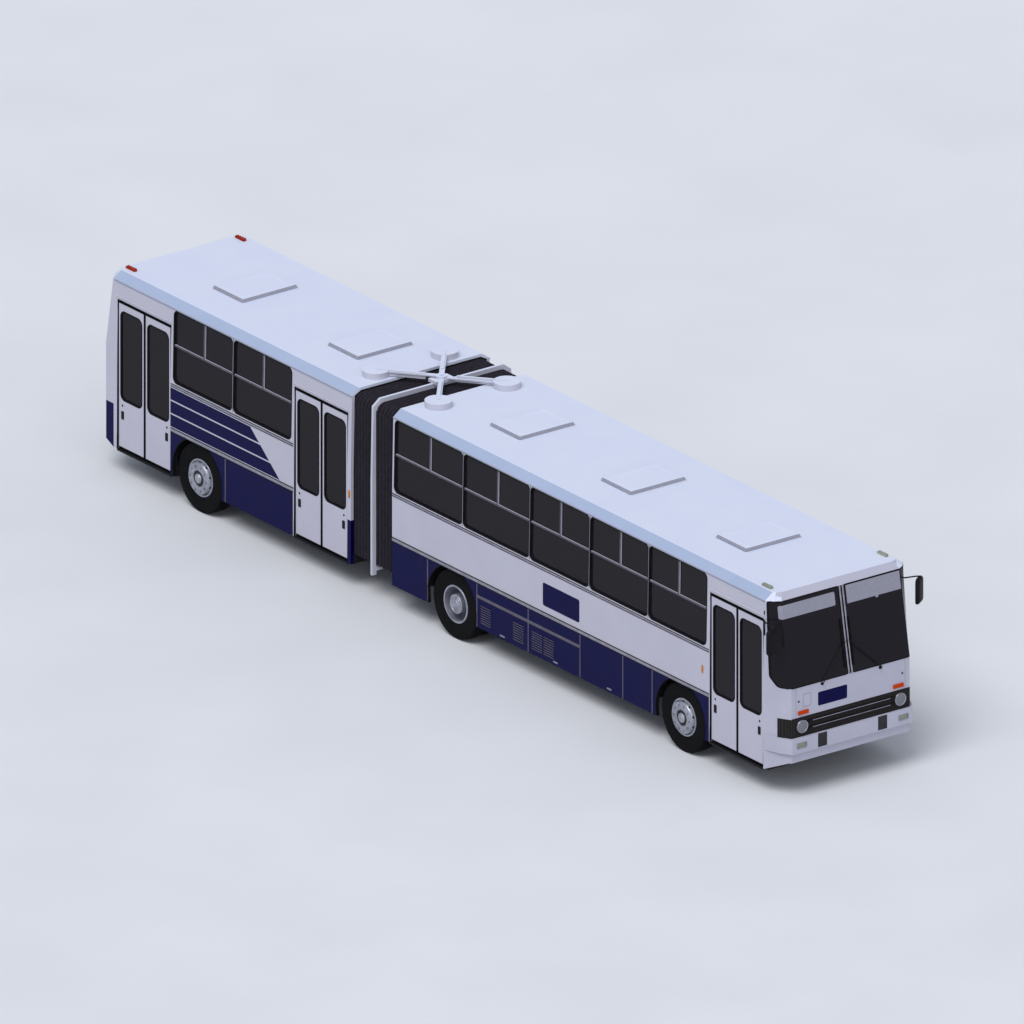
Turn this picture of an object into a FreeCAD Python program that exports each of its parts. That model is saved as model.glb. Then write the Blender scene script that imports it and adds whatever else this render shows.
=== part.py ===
# Articulated city bus, 16.5 m long: a two-axle front section and a one-axle rear section
# that are hinged at a turntable and joined by bellows.
#
# Frame: +X forward, +Y to the left of the bus, +Z up, millimetres.  The origin lies on the
# ground under the middle of the bus, and the wheels stand on Z = 0.
import FreeCAD, Part
import math
import os
import re

import Sketcher
from FreeCAD import Placement, Rotation, Vector

DOC = FreeCAD.newDocument("ArticulatedBus")
SHEET = DOC.addObject("Spreadsheet::Sheet", "Sizes")

# --------------------------------------------------------------------------------------
# Driving dimensions: name, value, what it measures.
# --------------------------------------------------------------------------------------
DIMENSIONS = [
    ("half_length", 8250, "middle of the bus to the face of either bumper"),
    ("half_width", 1265, "outer skin at the waist"),
    ("wall_lean", 22, "how far the upper wall leans in at the gutter"),
    ("wall_thick", 50, "side wall, skin to lining"),
    ("skirt_low", 390, "lower edge of the side skirt"),
    ("waist_high", 1819, "where the wall starts to lean in"),
    ("gutter_high", 3001, "top of the side walls"),
    ("roof_high", 3100, "flat top of the roof"),
    ("roof_inset", 155, "flat top of the roof inside the body side"),
    ("roof_thick", 40, "roof, skin to lining"),
    ("joint_gap", 498, "turntable axis to the end frame of either section"),
    ("bumper_reach", 50, "bumper's face before the mask"),
    ("mask_facet", 164, "flat of the mask to its second corner, along the bus"),
    ("mask_deep", 400, "flat of the mask to where the side walls end"),
    ("lamp_reach", 25, "tail lamps behind the tail"),
    ("tail_facet", 183, "flat of the tail to where it turns in"),
    ("tail_deep", 365, "flat of the tail to where the side walls end"),
    ("floor_high", 860, "walking surface"),
    ("floor_thick", 30, "floor panel"),
    ("front_overhang", 2410, "flat of the mask to the front axle"),
    ("axle_ahead", 1942, "turntable axis to the drive axle"),
    ("rear_overhang", 2375, "rear axle to the flat of the tail"),
    ("tyre_radius", 535, "tyre on the road"),
    ("tyre_width", 270, "tyre section"),
    ("twin_gap", 50, "space between twin tyres"),
    ("wheel_inset", 50, "tyre face inside the body side"),
    ("rim_radius", 286, "bead seat of the rim"),
    ("arch_radius", 590, "wheel arch in the skirt"),
    ("housing_half", 658, "half length of a housing over a steered wheel"),
    ("fixed_housing_half", 600, "half length of a housing over a fixed wheel"),
    ("housing_high", 1140, "top of a wheel housing"),
    ("housing_low", 630, "lower edge of a wheel housing"),
    ("housing_deep", 715, "housing depth from the lining"),
    ("kingpin_inset", 335, "steering axis inside the body side"),
    ("rail_y", 250, "middle of a chassis rail"),
    ("rail_wide", 60, "chassis rail"),
    ("rail_low", 680, "underside of the rails"),
    ("rail_high", 829, "top of the rails"),
    ("window_low", 1855, "side window opening"),
    ("window_top", 2978, "side window opening"),
    ("window_round", 90, "corner radius of a side window"),
    ("rail_line", 2428, "bar under the sliding vents"),
    ("bar_wide", 30, "window bars"),
    ("bar_bite", 3, "window bars, into the frame"),
    ("glass_thick", 6, "window glass"),
    ("glass_deep", 27, "glass behind the skin"),
    ("fit_gap", 0.3, "seat clearance between pieces"),
    ("door_half", 645, "half width of a doorway"),
    ("door_low", 395, "first step"),
    ("door_top", 2716, "underside of the door header"),
    ("header_deep", 70, "box for the door gear over a doorway, before its back plate"),
    ("leaf_low", 430, "lower edge of a leaf"),
    ("leaf_top", 2680, "upper edge of a leaf"),
    ("leaf_half", 310, "half width of a leaf"),
    ("leaf_thick", 40, "leaf"),
    ("leaf_inset", 20, "outer face of a closed leaf behind the skin"),
    ("leaf_offset", 60, "leaf middle plane to its hinge pins"),
    ("post_inset", 95, "stub post of a door arm inside the doorway edge"),
    ("post_radius", 25, "stub post of a door arm"),
    ("pin_radius", 10, "leaf pins"),
    ("arm_thick", 20, "door arm"),
    ("arm_half", 18, "half width of a door arm"),
    ("arm_eye", 24, "eye of a door arm round the leaf's pin"),
    ("arm_lift", 8, "door arm from the sill or the header"),
    ("leaf_window_low", 1181, "leaf window"),
    ("leaf_window_top", 2553, "leaf window"),
    ("leaf_window_half", 252, "leaf window"),
    ("step_edge", 590, "first riser, from the middle of the bus"),
    ("step_tread", 270, "depth of the second step"),
    ("stair_inset", 15, "stairs inside the lining"),
    ("sweep_room", 25, "room beyond the doorway's edge for a swinging leaf"),
    ("cheek_thick", 18, "board at either end of the stairs"),
    ("door_end", 82, "middle doorway to the end of the rear section"),
    ("screen_low", 1705, "lower edge of the windscreen"),
    ("screen_rake", 240, "how far the mask leans back at the gutter"),
    ("corner_rake", 137, "how far its second corner leans back there"),
    ("mask_taper", 97, "second corner of the mask inside the body side"),
    ("mask_flat", 199, "end of the mask's flat inside the body side"),
    ("screen_post", 40, "post between the two panes"),
    ("screen_edge", 100, "side edge of a pane inside the body side"),
    ("screen_cut", 145, "width of a pane's cut lower corner"),
    ("screen_cut_high", 125, "height of that corner"),
    ("tail_taper", 156, "end of the tail's flat inside the body side"),
    ("tail_lean", 173, "how far the tail leans forward at the gutter"),
    ("tail_window_inset", 365, "tail window inside the body side"),
    ("tail_rise", 180, "how much the tail's lower edge rises backwards"),
    ("bellows_inset", 66, "bellows inside the body outline"),
    ("bellows_low", 530, "lower edge of the bellows"),
    ("bellows_wall", 12, "bellows fabric"),
    ("portal_deep", 110, "end frame, wall to its inner edge"),
    ("portal_thick", 40, "end frame, fore and aft"),
    ("kingpin_radius", 25, "kingpin"),
    ("eye_radius", 60, "eye of the front beam round the kingpin"),
    ("beam_half", 50, "front beam, half its thickness fore and aft"),
    ("beam_drop", 55, "underside of the front beam below the wheel's middle"),
    ("beam_rise", 45, "top of the front beam above it"),
    ("ear_thick", 45, "ears of the knuckle above and below the beam"),
    ("plate_near", 66, "kingpin to the knuckle's plate"),
    ("plate_far", 90, "kingpin to that plate's outer face"),
    ("spindle_out", 55, "spindle beyond the wheel's middle"),
    ("tube_end", 95, "end of an axle tube before the wheel's middle"),
    ("drive_tube", 90, "radius of the drive axle's tube"),
    ("drive_rise", 60, "foot of its air springs above the wheel's middle"),
    ("rear_tube", 70, "radius of the rear axle's tube"),
    ("spring_radius", 75, "air spring"),
    ("gear_radius", 215, "differential housing"),
    ("gear_half", 170, "half its length"),
    ("cover_radius", 200, "differential cover"),
    ("cover_half", 150, "half its width"),
    ("shaft_radius", 50, "propeller shaft"),
    ("spindle_radius", 42, "wheel spindle"),
    ("post_wide", 100, "post through the turntable"),
    ("disc_radius", 700, "round gangway floor"),
    ("link_pin", 30, "pin of the roof link"),
    ("fold_deep", 55, "depth of a bellows fold"),
    ("hoop_thick", 44, "middle hoop, fore and aft"),
    ("hoop_deep", 75, "middle hoop, outline to its inner edge"),
    ("hoop_low", 380, "lower end of the hoop"),
    ("tow_radius", 21, "towing eye"),
    ("ring_radius", 350, "turntable ring"),
    ("ring_low", 640, "underside of the turntable"),
    ("ring_thick", 50, "each turntable race"),
    ("link_reach", 750, "joint axis to the roof pads, fore and aft"),
    ("link_spread", 620, "joint axis to the roof pads, sideways"),
    ("pad_radius", 200, "roof pad"),
    ("pad_high", 95, "roof pad"),
    ("link_thick", 40, "roof link arm"),
    ("lug_thick", 20, "eye plates of the roof link"),
    ("hatch_long", 736, "roof hatch"),
    ("hatch_half", 505, "roof hatch"),
    ("hatch_high", 60, "roof hatch"),
    ("seat_high", 1310, "top of a seat cushion"),
    ("seat_wide", 860, "double seat"),
    ("cushion_deep", 420, "seat cushion, front to back"),
    ("cushion_drop", 25, "how much a cushion falls backwards"),
    ("cushion_thick", 60, "seat cushion"),
    ("back_high", 640, "backrest above the cushion's front"),
    ("back_lean", 120, "how far a backrest leans back"),
    ("back_thick", 45, "top of a backrest"),
    ("back_foot", 60, "foot of a backrest behind the cushion"),
    ("leg_inset", 130, "seat pedestal behind the cushion's front"),
    ("leg_long", 200, "seat pedestal, both ways"),
    ("leg_side", 300, "pedestal from the side of the seat"),
    ("driver_y", 680, "middle of the driver's place"),
    ("driver_back", 1470, "driver's backrest to the end of the side walls"),
    ("bumper_low", 700, "bumper above its valance"),
    ("bumper_high", 935, "bumper"),
    ("valance_low", 550, "front valance"),
    ("lamp_radius", 82, "headlamp"),
    ("lamp_inset", 380, "headlamp inside the body side"),
    ("lamp_z", 1095, "headlamp"),
    ("fog_wide", 176, "fog lamp"),
    ("fog_high", 86, "fog lamp"),
    ("fog_inset", 348, "fog lamp inside the body side"),
    ("fog_z", 822, "fog lamp"),
    ("bar_high", 34, "each bar across the grille"),
    ("bar_reach", 26, "those bars before the mask"),
    ("bar_low", 95, "lower bar above the bumper"),
    ("bar_step", 105, "lower bar to the upper one"),
    ("recess_y", 542, "recess in the bumper"),
    ("recess_wide", 164, "recess in the bumper"),
    ("recess_low", 716, "recess in the bumper"),
    ("recess_high", 918, "recess in the bumper"),
    ("recess_deep", 35, "recess in the bumper"),
    ("winker_wide", 180, "direction lamp"),
    ("winker_high", 56, "direction lamp"),
    ("winker_low", 1278, "direction lamp"),
    ("winker_inset", 407, "direction lamp inside the body side"),
    ("marker_long", 90, "marker lamp on the roof"),
    ("marker_wide", 50, "marker lamp on the roof"),
    ("marker_high", 40, "marker lamp on the roof"),
    ("marker_inset", 70, "marker lamp inside the roof's flat"),
    ("mirror_out", 80, "middle of a mirror beyond the body side"),
    ("mirror_wide", 250, "mirror housing"),
    ("mirror_tall", 380, "mirror housing"),
    ("mirror_deep", 55, "mirror housing"),
    ("mirror_arm", 24, "flat bar that carries a mirror"),
    ("mirror_right", 2490, "middle of the right mirror"),
    ("mirror_left", 2620, "middle of the left mirror"),
    ("engine_long", 1500, "engine"),
    ("engine_wide", 1000, "engine"),
    ("engine_low", 360, "underside of the engine"),
    ("engine_ahead", 1110, "drive axle to the engine"),
    ("jack_pad", 120, "square pad for a jack"),
    ("pad_thick", 15, "that pad"),
    ("tail_lamp_wide", 440, "tail lamp"),
    ("tail_lamp_inset", 415, "middle of a tail lamp inside the body side"),
    ("tail_lamp_low", 660, "tail lamp"),
    ("tail_lamp_high", 930, "tail lamp"),
]
# Places that follow from those sizes: name, formula, what it is.
PLACES = [
    ("roof_half", "half_width-roof_inset", "half width of the flat top"),
    ("mask_x", "half_length-bumper_reach", "flat of the front mask"),
    ("mask_corner", "mask_x-mask_facet", "second corner of the mask"),
    ("mask_side", "mask_x-mask_deep", "where the side wall ends and the mask turns in"),
    ("tail_x", "lamp_reach-half_length", "flat of the tail"),
    ("tail_corner", "tail_x+tail_facet", "where the tail turns in"),
    ("tail_side", "tail_x+tail_deep", "where the rear side walls meet the tail panel"),
    ("joint_x", "-half_length*1652/8250", "turntable axis, a fifth of the half length behind the middle"),
    ("front_axle_x", "mask_x-front_overhang", "front axle"),
    ("drive_axle_x", "joint_x+axle_ahead", "middle axle, twin tyres"),
    ("rear_axle_x", "tail_x+rear_overhang", "rear axle"),
    ("kingpin_y", "half_width-kingpin_inset", "steering axis"),
    ("leaf_face", "half_width-leaf_inset", "outer face of a closed leaf"),
    ("lamp_y", "half_width-lamp_inset", "headlamp"),
    ("fog_y", "half_width-fog_inset", "fog lamp"),
    ("winker_y", "half_width-winker_inset", "direction lamp"),
    ("marker_y", "roof_half-marker_inset", "marker lamp on the roof"),
    ("housing_inner_y", "half_width-wall_thick-housing_deep", "inner face of a wheel housing"),
]
for row, (alias, number, meaning) in enumerate(DIMENSIONS, 1):
    SHEET.set(f"A{row}", alias)
    SHEET.set(f"B{row}", str(number))
    SHEET.set(f"C{row}", meaning)
    SHEET.setAlias(f"B{row}", alias)
for row, (alias, formula, meaning) in enumerate(PLACES, len(DIMENSIONS) + 1):
    SHEET.set(f"A{row}", alias)
    SHEET.set(f"B{row}", f"={formula}")
    SHEET.set(f"C{row}", meaning)
    SHEET.setAlias(f"B{row}", alias)
DOC.recompute()

FRONT_END = "joint_x+joint_gap"
REAR_END = "joint_x-joint_gap"
# Where the stretch of the wall before or behind a doorway ends.
FRONT_DOORWAY = "(front_axle_x+housing_half+cheek_thick+sweep_room)"
REAR_DOORWAY = "(rear_axle_x-fixed_housing_half-cheek_thick-sweep_room)"
MIDDLE_DOORWAY = f"({REAR_END}-door_end-2*door_half)"
# Lengths of the two rows of windows as they were drawn.
FRONT_ROW = 7645
REAR_ROW = 2971


def front_row(distance):
    """A place along the front row of windows, which fills the wall up to the doorway."""
    return f"({FRONT_END}+{distance}*({FRONT_DOORWAY}-({FRONT_END}))/{FRONT_ROW})"


def rear_row(distance):
    """The same between the two doorways of the rear section."""
    return f"({REAR_DOORWAY}+{distance}*({MIDDLE_DOORWAY}-({REAR_DOORWAY}))/{REAR_ROW})"


# Side windows: section, side (-1 right, +1 left), rear end, front end, bar position.
FRONT_PANES = [(46, 1687, 884), (1701, 3298, 2510), (3308, 4737, 4022), (4747, 6156, 5462), (6166, 7565, 6873)]
REAR_PANES = [(63, 1484, 787), (1503, 2906, 2204)]
WINDOWS = []
for side in (-1, 1):
    for pane in FRONT_PANES:
        WINDOWS.append(("front", side, *[front_row(distance) for distance in pane]))
    for pane in REAR_PANES:
        WINDOWS.append(("rear", side, *[rear_row(distance) for distance in pane]))
WINDOWS += [
    ("front", 1, "(mask_side-1300)", "(mask_side-60)", "(mask_side-680)"),
    ("rear", 1, "(tail_side+80)", "(tail_side+1415)", "(tail_side+748)"),
    ("rear", 1, f"({REAR_END}-1420)", f"({REAR_END}-70)", f"({REAR_END}-745)"),
]
# Doors: name, section, middle of the doorway.
DOORS = [
    ("front", "front", f"({FRONT_DOORWAY}+door_half)"),
    ("middle", "rear", f"({MIDDLE_DOORWAY}+door_half)"),
    ("rear", "rear", f"({REAR_DOORWAY}-door_half)"),
]
# Wheels: name, axle alias, side, twin.
WHEELS = [
    ("front_left", "front_axle_x", 1, False),
    ("front_right", "front_axle_x", -1, False),
    ("middle_left", "drive_axle_x", 1, True),
    ("middle_right", "drive_axle_x", -1, True),
    ("rear_left", "rear_axle_x", 1, False),
    ("rear_right", "rear_axle_x", -1, False),
]
# Roof hatches: section, front end.
HATCHES = [
    ("front", front_row(2061)),
    ("front", front_row(4735)),
    ("front", front_row(7507)),
    ("rear", f"({REAR_END}-847)"),
    ("rear", "(tail_side+2092)"),
]
# Seat rows: section, front end of the row, side, base height.
SEATS = [
    ("rear", f"({REAR_END}-270)", 1, "floor_high"),
    ("rear", f"({REAR_END}-1110)", 1, "floor_high"),
    ("rear", "(tail_side+1160)", 1, "floor_high"),
    ("rear", "(tail_side+460)", 1, "floor_high"),
]
for side in (-1, 1):
    for distance in (2814, 3654, 4494, 5334, 6174):
        SEATS.append(("front", front_row(distance), side, "floor_high"))
    SEATS.append(("front", "(drive_axle_x+430)", side, "housing_high"))
    SEATS.append(("rear", rear_row(2393), side, "floor_high"))
    SEATS.append(("rear", "(rear_axle_x+350)", side, "housing_high"))

# --------------------------------------------------------------------------------------
# Small helpers.  Sizes are written as formulas of the sheet's names.
# --------------------------------------------------------------------------------------
WORD = re.compile(r"[a-z]+(?:_[a-z]+)+")


def linked(formula):
    """The formula with each size named in full, for setExpression."""
    return WORD.sub(lambda found: "Sizes." + found.group(0), str(formula))


def value(formula):
    """What the formula is worth now."""
    return float(SHEET.evalExpression(linked(formula)))


def bind(thing, prop, formula):
    thing.setExpression(prop, linked(formula))


def box(x_low, x_high, y_low, y_high, z_low, z_high):
    """A block between two planes along each axis."""
    block = DOC.addObject("Part::Box", "Block")
    bind(block, "Length", f"({x_high})-({x_low})")
    bind(block, "Width", f"({y_high})-({y_low})")
    bind(block, "Height", f"({z_high})-({z_low})")
    bind(block, "Placement.Base.x", x_low)
    bind(block, "Placement.Base.y", y_low)
    bind(block, "Placement.Base.z", z_low)
    return block


# A rod's seam lies along -Z, or along +Y on an upright one, clear of the plates that meet it.
TURNS = {"X": Rotation(Vector(0, 1, 0), 90), "Y": Rotation(Vector(1, 0, 0), -90), "Z": Rotation(Vector(0, 0, 1), 90)}


def rod(axis, x, y, z, radius, length):
    """A cylinder that starts at a point and runs along an axis."""
    bar = DOC.addObject("Part::Cylinder", "Rod")
    bar.Placement = Placement(Vector(), TURNS[axis])
    bind(bar, "Radius", radius)
    bind(bar, "Height", length)
    bind(bar, "Placement.Base.x", x)
    bind(bar, "Placement.Base.y", y)
    bind(bar, "Placement.Base.z", z)
    return bar


def named(thing, label):
    thing.Label = label
    return thing


def fuse(pieces):
    joined = DOC.addObject("Part::MultiFuse", "Joined")
    joined.Shapes = pieces
    return joined


def cut(base, tools):
    left = DOC.addObject("Part::Cut", "Left")
    left.Base = base
    left.Tool = tools[0] if len(tools) == 1 else fuse(tools)
    return left


def common(first, second):
    shared = DOC.addObject("Part::Common", "Shared")
    shared.Base = first
    shared.Tool = second
    return shared


def group(pieces):
    together = DOC.addObject("Part::Compound", "Together")
    together.Links = pieces
    return together


def plane_of(body, name):
    return [plane for plane in body.Origin.OriginFeatures if plane.Role == name + "_Plane"][0]


def sketch_on(body, plane, offset=0):
    """A sketch on one of the body's planes, moved along the plane's normal."""
    sketch = body.newObject("Sketcher::SketchObject", "Outline")
    sketch.AttachmentSupport = [(plane_of(body, plane), "")]
    sketch.MapMode = "FlatFace"
    bind(sketch, "AttachmentOffset.Base.z", offset)
    return sketch


def constrain(sketch, constraints, formulas):
    first = len(sketch.Constraints)
    sketch.addConstraint(constraints)
    for index, formula in formulas.items():
        sketch.setExpression(f"Constraints[{first + index}]", linked(formula))


def place_point(constraints, formulas, edge, spot, across, up):
    """Hold one end of an edge at a place from the sketch's origin."""
    for kind, formula in (("DistanceX", across), ("DistanceY", up)):
        constraints.append(Sketcher.Constraint(kind, -1, 1, edge, spot, value(formula)))
        formulas[len(constraints) - 1] = formula


def polygon(sketch, corners):
    """A closed outline through corners given as formulas."""
    first = sketch.GeometryCount
    count = len(corners)
    spots = [Vector(value(across), value(up), 0) for across, up in corners]
    sketch.addGeometry([Part.LineSegment(spots[i], spots[(i + 1) % count]) for i in range(count)])
    constraints = []
    formulas = {}
    for i in range(count):
        constraints.append(Sketcher.Constraint("Coincident", first + i, 2, first + (i + 1) % count, 1))
    for i, (across, up) in enumerate(corners):
        place_point(constraints, formulas, first + i, 1, across, up)
    constrain(sketch, constraints, formulas)


def circle(sketch, across, up, radius):
    number = sketch.GeometryCount
    middle = Vector(value(across), value(up), 0)
    sketch.addGeometry(Part.Circle(middle, Vector(0, 0, 1), value(radius)))
    constraints = [Sketcher.Constraint("Radius", number, value(radius))]
    formulas = {0: radius}
    place_point(constraints, formulas, number, 3, across, up)
    constrain(sketch, constraints, formulas)


def rounded(sketch, left, right, low, high, radius):
    """A rectangle with round corners: four lines and four tangent arcs."""
    first = sketch.GeometryCount
    x0, x1, z0, z1, r = (value(size) for size in (left, right, low, high, radius))
    runs = [
        ((x0 + r, z0), (x1 - r, z0)),
        ((x1, z0 + r), (x1, z1 - r)),
        ((x1 - r, z1), (x0 + r, z1)),
        ((x0, z1 - r), (x0, z0 + r)),
    ]
    middles = [
        (f"({right})-({radius})", f"({low})+({radius})"),
        (f"({right})-({radius})", f"({high})-({radius})"),
        (f"({left})+({radius})", f"({high})-({radius})"),
        (f"({left})+({radius})", f"({low})+({radius})"),
    ]
    edges = [Part.LineSegment(Vector(*start, 0), Vector(*end, 0)) for start, end in runs]
    for quarter, (across, up) in enumerate(middles):
        whole = Part.Circle(Vector(value(across), value(up), 0), Vector(0, 0, 1), r)
        begin = (quarter - 1) * math.pi / 2
        edges.append(Part.ArcOfCircle(whole, begin, begin + math.pi / 2))
    sketch.addGeometry(edges)
    constraints = []
    formulas = {}
    for i in range(4):
        constraints.append(Sketcher.Constraint("Tangent", first + i, 2, first + 4 + i, 1))
        constraints.append(Sketcher.Constraint("Tangent", first + 4 + i, 2, first + (i + 1) % 4, 1))
    constraints.append(Sketcher.Constraint("Radius", first + 4, r))
    formulas[len(constraints) - 1] = radius
    for i in range(1, 4):
        constraints.append(Sketcher.Constraint("Equal", first + 4, first + 4 + i))
    for i, (across, up) in enumerate(middles):
        place_point(constraints, formulas, first + 4 + i, 3, across, up)
    constrain(sketch, constraints, formulas)


def pad(body, sketch, length):
    """Extrude along the sketch's normal; a negative sign is given by the offset instead."""
    feature = body.newObject("PartDesign::Pad", "Pad")
    feature.Profile = sketch
    bind(feature, "Length", length)
    return feature


def pocket(body, sketch):
    """Cut right through, both ways."""
    feature = body.newObject("PartDesign::Pocket", "Pocket")
    feature.Profile = sketch
    feature.Type = "ThroughAll"
    feature.Midplane = True
    return feature


def new_body():
    body = DOC.addObject("PartDesign::Body", "Body")
    body.AllowCompound = True
    return body


def prism(plane, start, length, outlines):
    """A body padded from one or more polygons.  XZ sketches face -Y, so start counts from there."""
    body = new_body()
    sketch = sketch_on(body, plane, start)
    for corners in outlines:
        polygon(sketch, corners)
    pad(body, sketch, length)
    return body


def along_x(x_low, x_high, *outlines):
    """A prism along X from outlines in (y, z)."""
    return prism("YZ", x_low, f"({x_high})-({x_low})", outlines)


def along_y(y_low, y_high, *outlines):
    """A prism along Y from outlines in (x, z)."""
    return prism("XZ", f"-({y_high})", f"({y_high})-({y_low})", outlines)


def along_z(z_low, z_high, *outlines):
    """A prism along Z from outlines in (x, y)."""
    return prism("XY", z_low, f"({z_high})-({z_low})", outlines)


def loft(low_z, low_outline, high_z, high_outline):
    """A ruled solid between two level outlines with as many corners."""
    body = new_body()
    lower = sketch_on(body, "XY", low_z)
    polygon(lower, low_outline)
    upper = sketch_on(body, "XY", high_z)
    polygon(upper, high_outline)
    feature = body.newObject("PartDesign::AdditiveLoft", "Loft")
    feature.Profile = lower
    feature.Sections = [upper]
    feature.Ruled = True
    return body


def turned(axis_x, axis_y, axis_z, outline):
    """A ring turned about a line along Y, from an outline in (radius, y)."""
    body = new_body()
    sketch = sketch_on(body, "XY")
    polygon(sketch, outline)
    feature = body.newObject("PartDesign::Revolution", "Turned")
    feature.Profile = sketch
    feature.ReferenceAxis = (sketch, ["V_Axis"])
    feature.Angle = 360
    bind(body, "Placement.Base.x", axis_x)
    bind(body, "Placement.Base.y", axis_y)
    bind(body, "Placement.Base.z", axis_z)
    return body


NODES = []


def node(label, thing):
    """Keep a finished sub-part; its label names its file."""
    NODES.append(named(thing, label))
    return thing


# --------------------------------------------------------------------------------------
# Body shells
# --------------------------------------------------------------------------------------
SPANS = {"front": (FRONT_END, "mask_side"), "rear": ("tail_side", REAR_END)}
AXLES = {"front": ["front_axle_x", "drive_axle_x"], "rear": ["rear_axle_x"]}
AXLE_Z = "tyre_radius"


def leaning_sheet(span, side, outside, inside, low="skirt_low", high="gutter_high"):
    """A sheet that follows the side wall, between two depths behind the skin."""
    waist = "waist_high"
    outline = [
        (f"{side}*(half_width-({outside}))", low),
        (f"{side}*(half_width-({outside}))", waist),
        (f"{side}*(half_width-wall_lean-({outside}))", high),
        (f"{side}*(half_width-wall_lean-({inside}))", high),
        (f"{side}*(half_width-({inside}))", waist),
        (f"{side}*(half_width-({inside}))", low),
    ]
    return along_x(span[0], span[1], outline)


def upper_sheet(span, side, outside, inside):
    """The leaning part of that sheet only."""
    outline = [
        (f"{side}*(half_width-({outside}))", "waist_high"),
        (f"{side}*(half_width-wall_lean-({outside}))", "gutter_high"),
        (f"{side}*(half_width-wall_lean-({inside}))", "gutter_high"),
        (f"{side}*(half_width-({inside}))", "waist_high"),
    ]
    return along_x(span[0], span[1], outline)


def window_bars(section, side):
    """The vent bar and the upright above it, in front of each pane."""
    body = new_body()
    sketch = sketch_on(body, "XZ", f"-({side}*half_width)-100")
    half = "bar_wide/2"
    for where, hand, back, front, bar in WINDOWS:
        if (where, hand) == (section, side):
            polygon(sketch, [
                (f"{back}-bar_bite", f"rail_line-{half}"),
                (f"{front}+bar_bite", f"rail_line-{half}"),
                (f"{front}+bar_bite", f"rail_line+{half}"),
                (f"{bar}+{half}", f"rail_line+{half}"),
                (f"{bar}+{half}", "window_top+bar_bite"),
                (f"{bar}-{half}", "window_top+bar_bite"),
                (f"{bar}-{half}", f"rail_line+{half}"),
                (f"{back}-bar_bite", f"rail_line+{half}"),
            ])
    pad(body, sketch, 200)
    return common(body, upper_sheet(SPANS[section], side, 8, "glass_deep-fit_gap"))


def side_wall(section, side):
    """One side wall: skin to lining as one panel, with arches, doorways and windows cut."""
    body = leaning_sheet(SPANS[section], side, 0, "wall_thick")
    panes = sketch_on(body, "XZ")
    for where, hand, back, front, bar in WINDOWS:
        if (where, hand) == (section, side):
            rounded(panes, back, front, "window_low", "window_top", "window_round")
    pocket(body, panes)
    arches = sketch_on(body, "XZ")
    for axle in AXLES[section]:
        circle(arches, axle, AXLE_Z, "arch_radius")
    pocket(body, arches)
    doorways = [middle for name, where, middle in DOORS if where == section and side < 0]
    if doorways:
        holes = sketch_on(body, "XZ")
        for middle in doorways:
            polygon(holes, [
                (f"{middle}-door_half", "skirt_low-50"),
                (f"{middle}+door_half", "skirt_low-50"),
                (f"{middle}+door_half", "door_top"),
                (f"{middle}-door_half", "door_top"),
            ])
        pocket(body, holes)
    pieces = [body, window_bars(section, side)]
    for middle in doorways:
        pieces.append(box(f"{middle}-door_half", f"{middle}+door_half", "-(half_width-wall_thick+5)",
                          "-half_width+2*wall_thick+header_deep", "door_top", "gutter_high-30"))
    return fuse(pieces)


def side_glass(section, side):
    """The panes, a little smaller than their openings."""
    body = new_body()
    sketch = sketch_on(body, "XZ", f"-({side}*half_width)-100")
    for where, hand, back, front, bar in WINDOWS:
        if (where, hand) == (section, side):
            rounded(sketch, f"{back}+fit_gap", f"{front}-fit_gap", "window_low+fit_gap",
                    "window_top-fit_gap", "window_round-fit_gap")
    pad(body, sketch, 200)
    return common(body, upper_sheet(SPANS[section], side, "glass_deep", "glass_deep+glass_thick"))


for section in ("front", "rear"):
    node(f"{section}_left_wall", side_wall(section, 1))
    node(f"{section}_right_wall", side_wall(section, -1))


def plan(corners):
    """A level outline that is the same on both sides: right side forward, left side back."""
    right = [(x, f"-({y})") for x, y in corners]
    left = [(x, y) for x, y in reversed(corners)]
    return right + left


GUTTER_HALF = "half_width-wall_lean"
# Corners of the front mask in plan, at the windscreen sill and at the gutter.
MASK_SILL = [("mask_side", "half_width"), ("mask_corner", "half_width-mask_taper"), ("mask_x", "half_width-mask_flat")]
MASK_TOP = [
    ("mask_side", GUTTER_HALF),
    ("mask_corner-corner_rake", "half_width-mask_taper"),
    ("mask_x-screen_rake", "half_width-mask_flat"),
]
# The same for the tail, at the lean's start and at the gutter.
TAIL_LOW = [
    ("tail_side", "half_width"),
    ("tail_corner", "half_width"),
    ("tail_x", "half_width-tail_taper"),
]
TAIL_TOP = [
    ("tail_side", GUTTER_HALF),
    ("tail_corner+tail_lean*0.82", GUTTER_HALF),
    ("tail_x+tail_lean", "half_width-tail_taper-9"),
]


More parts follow.
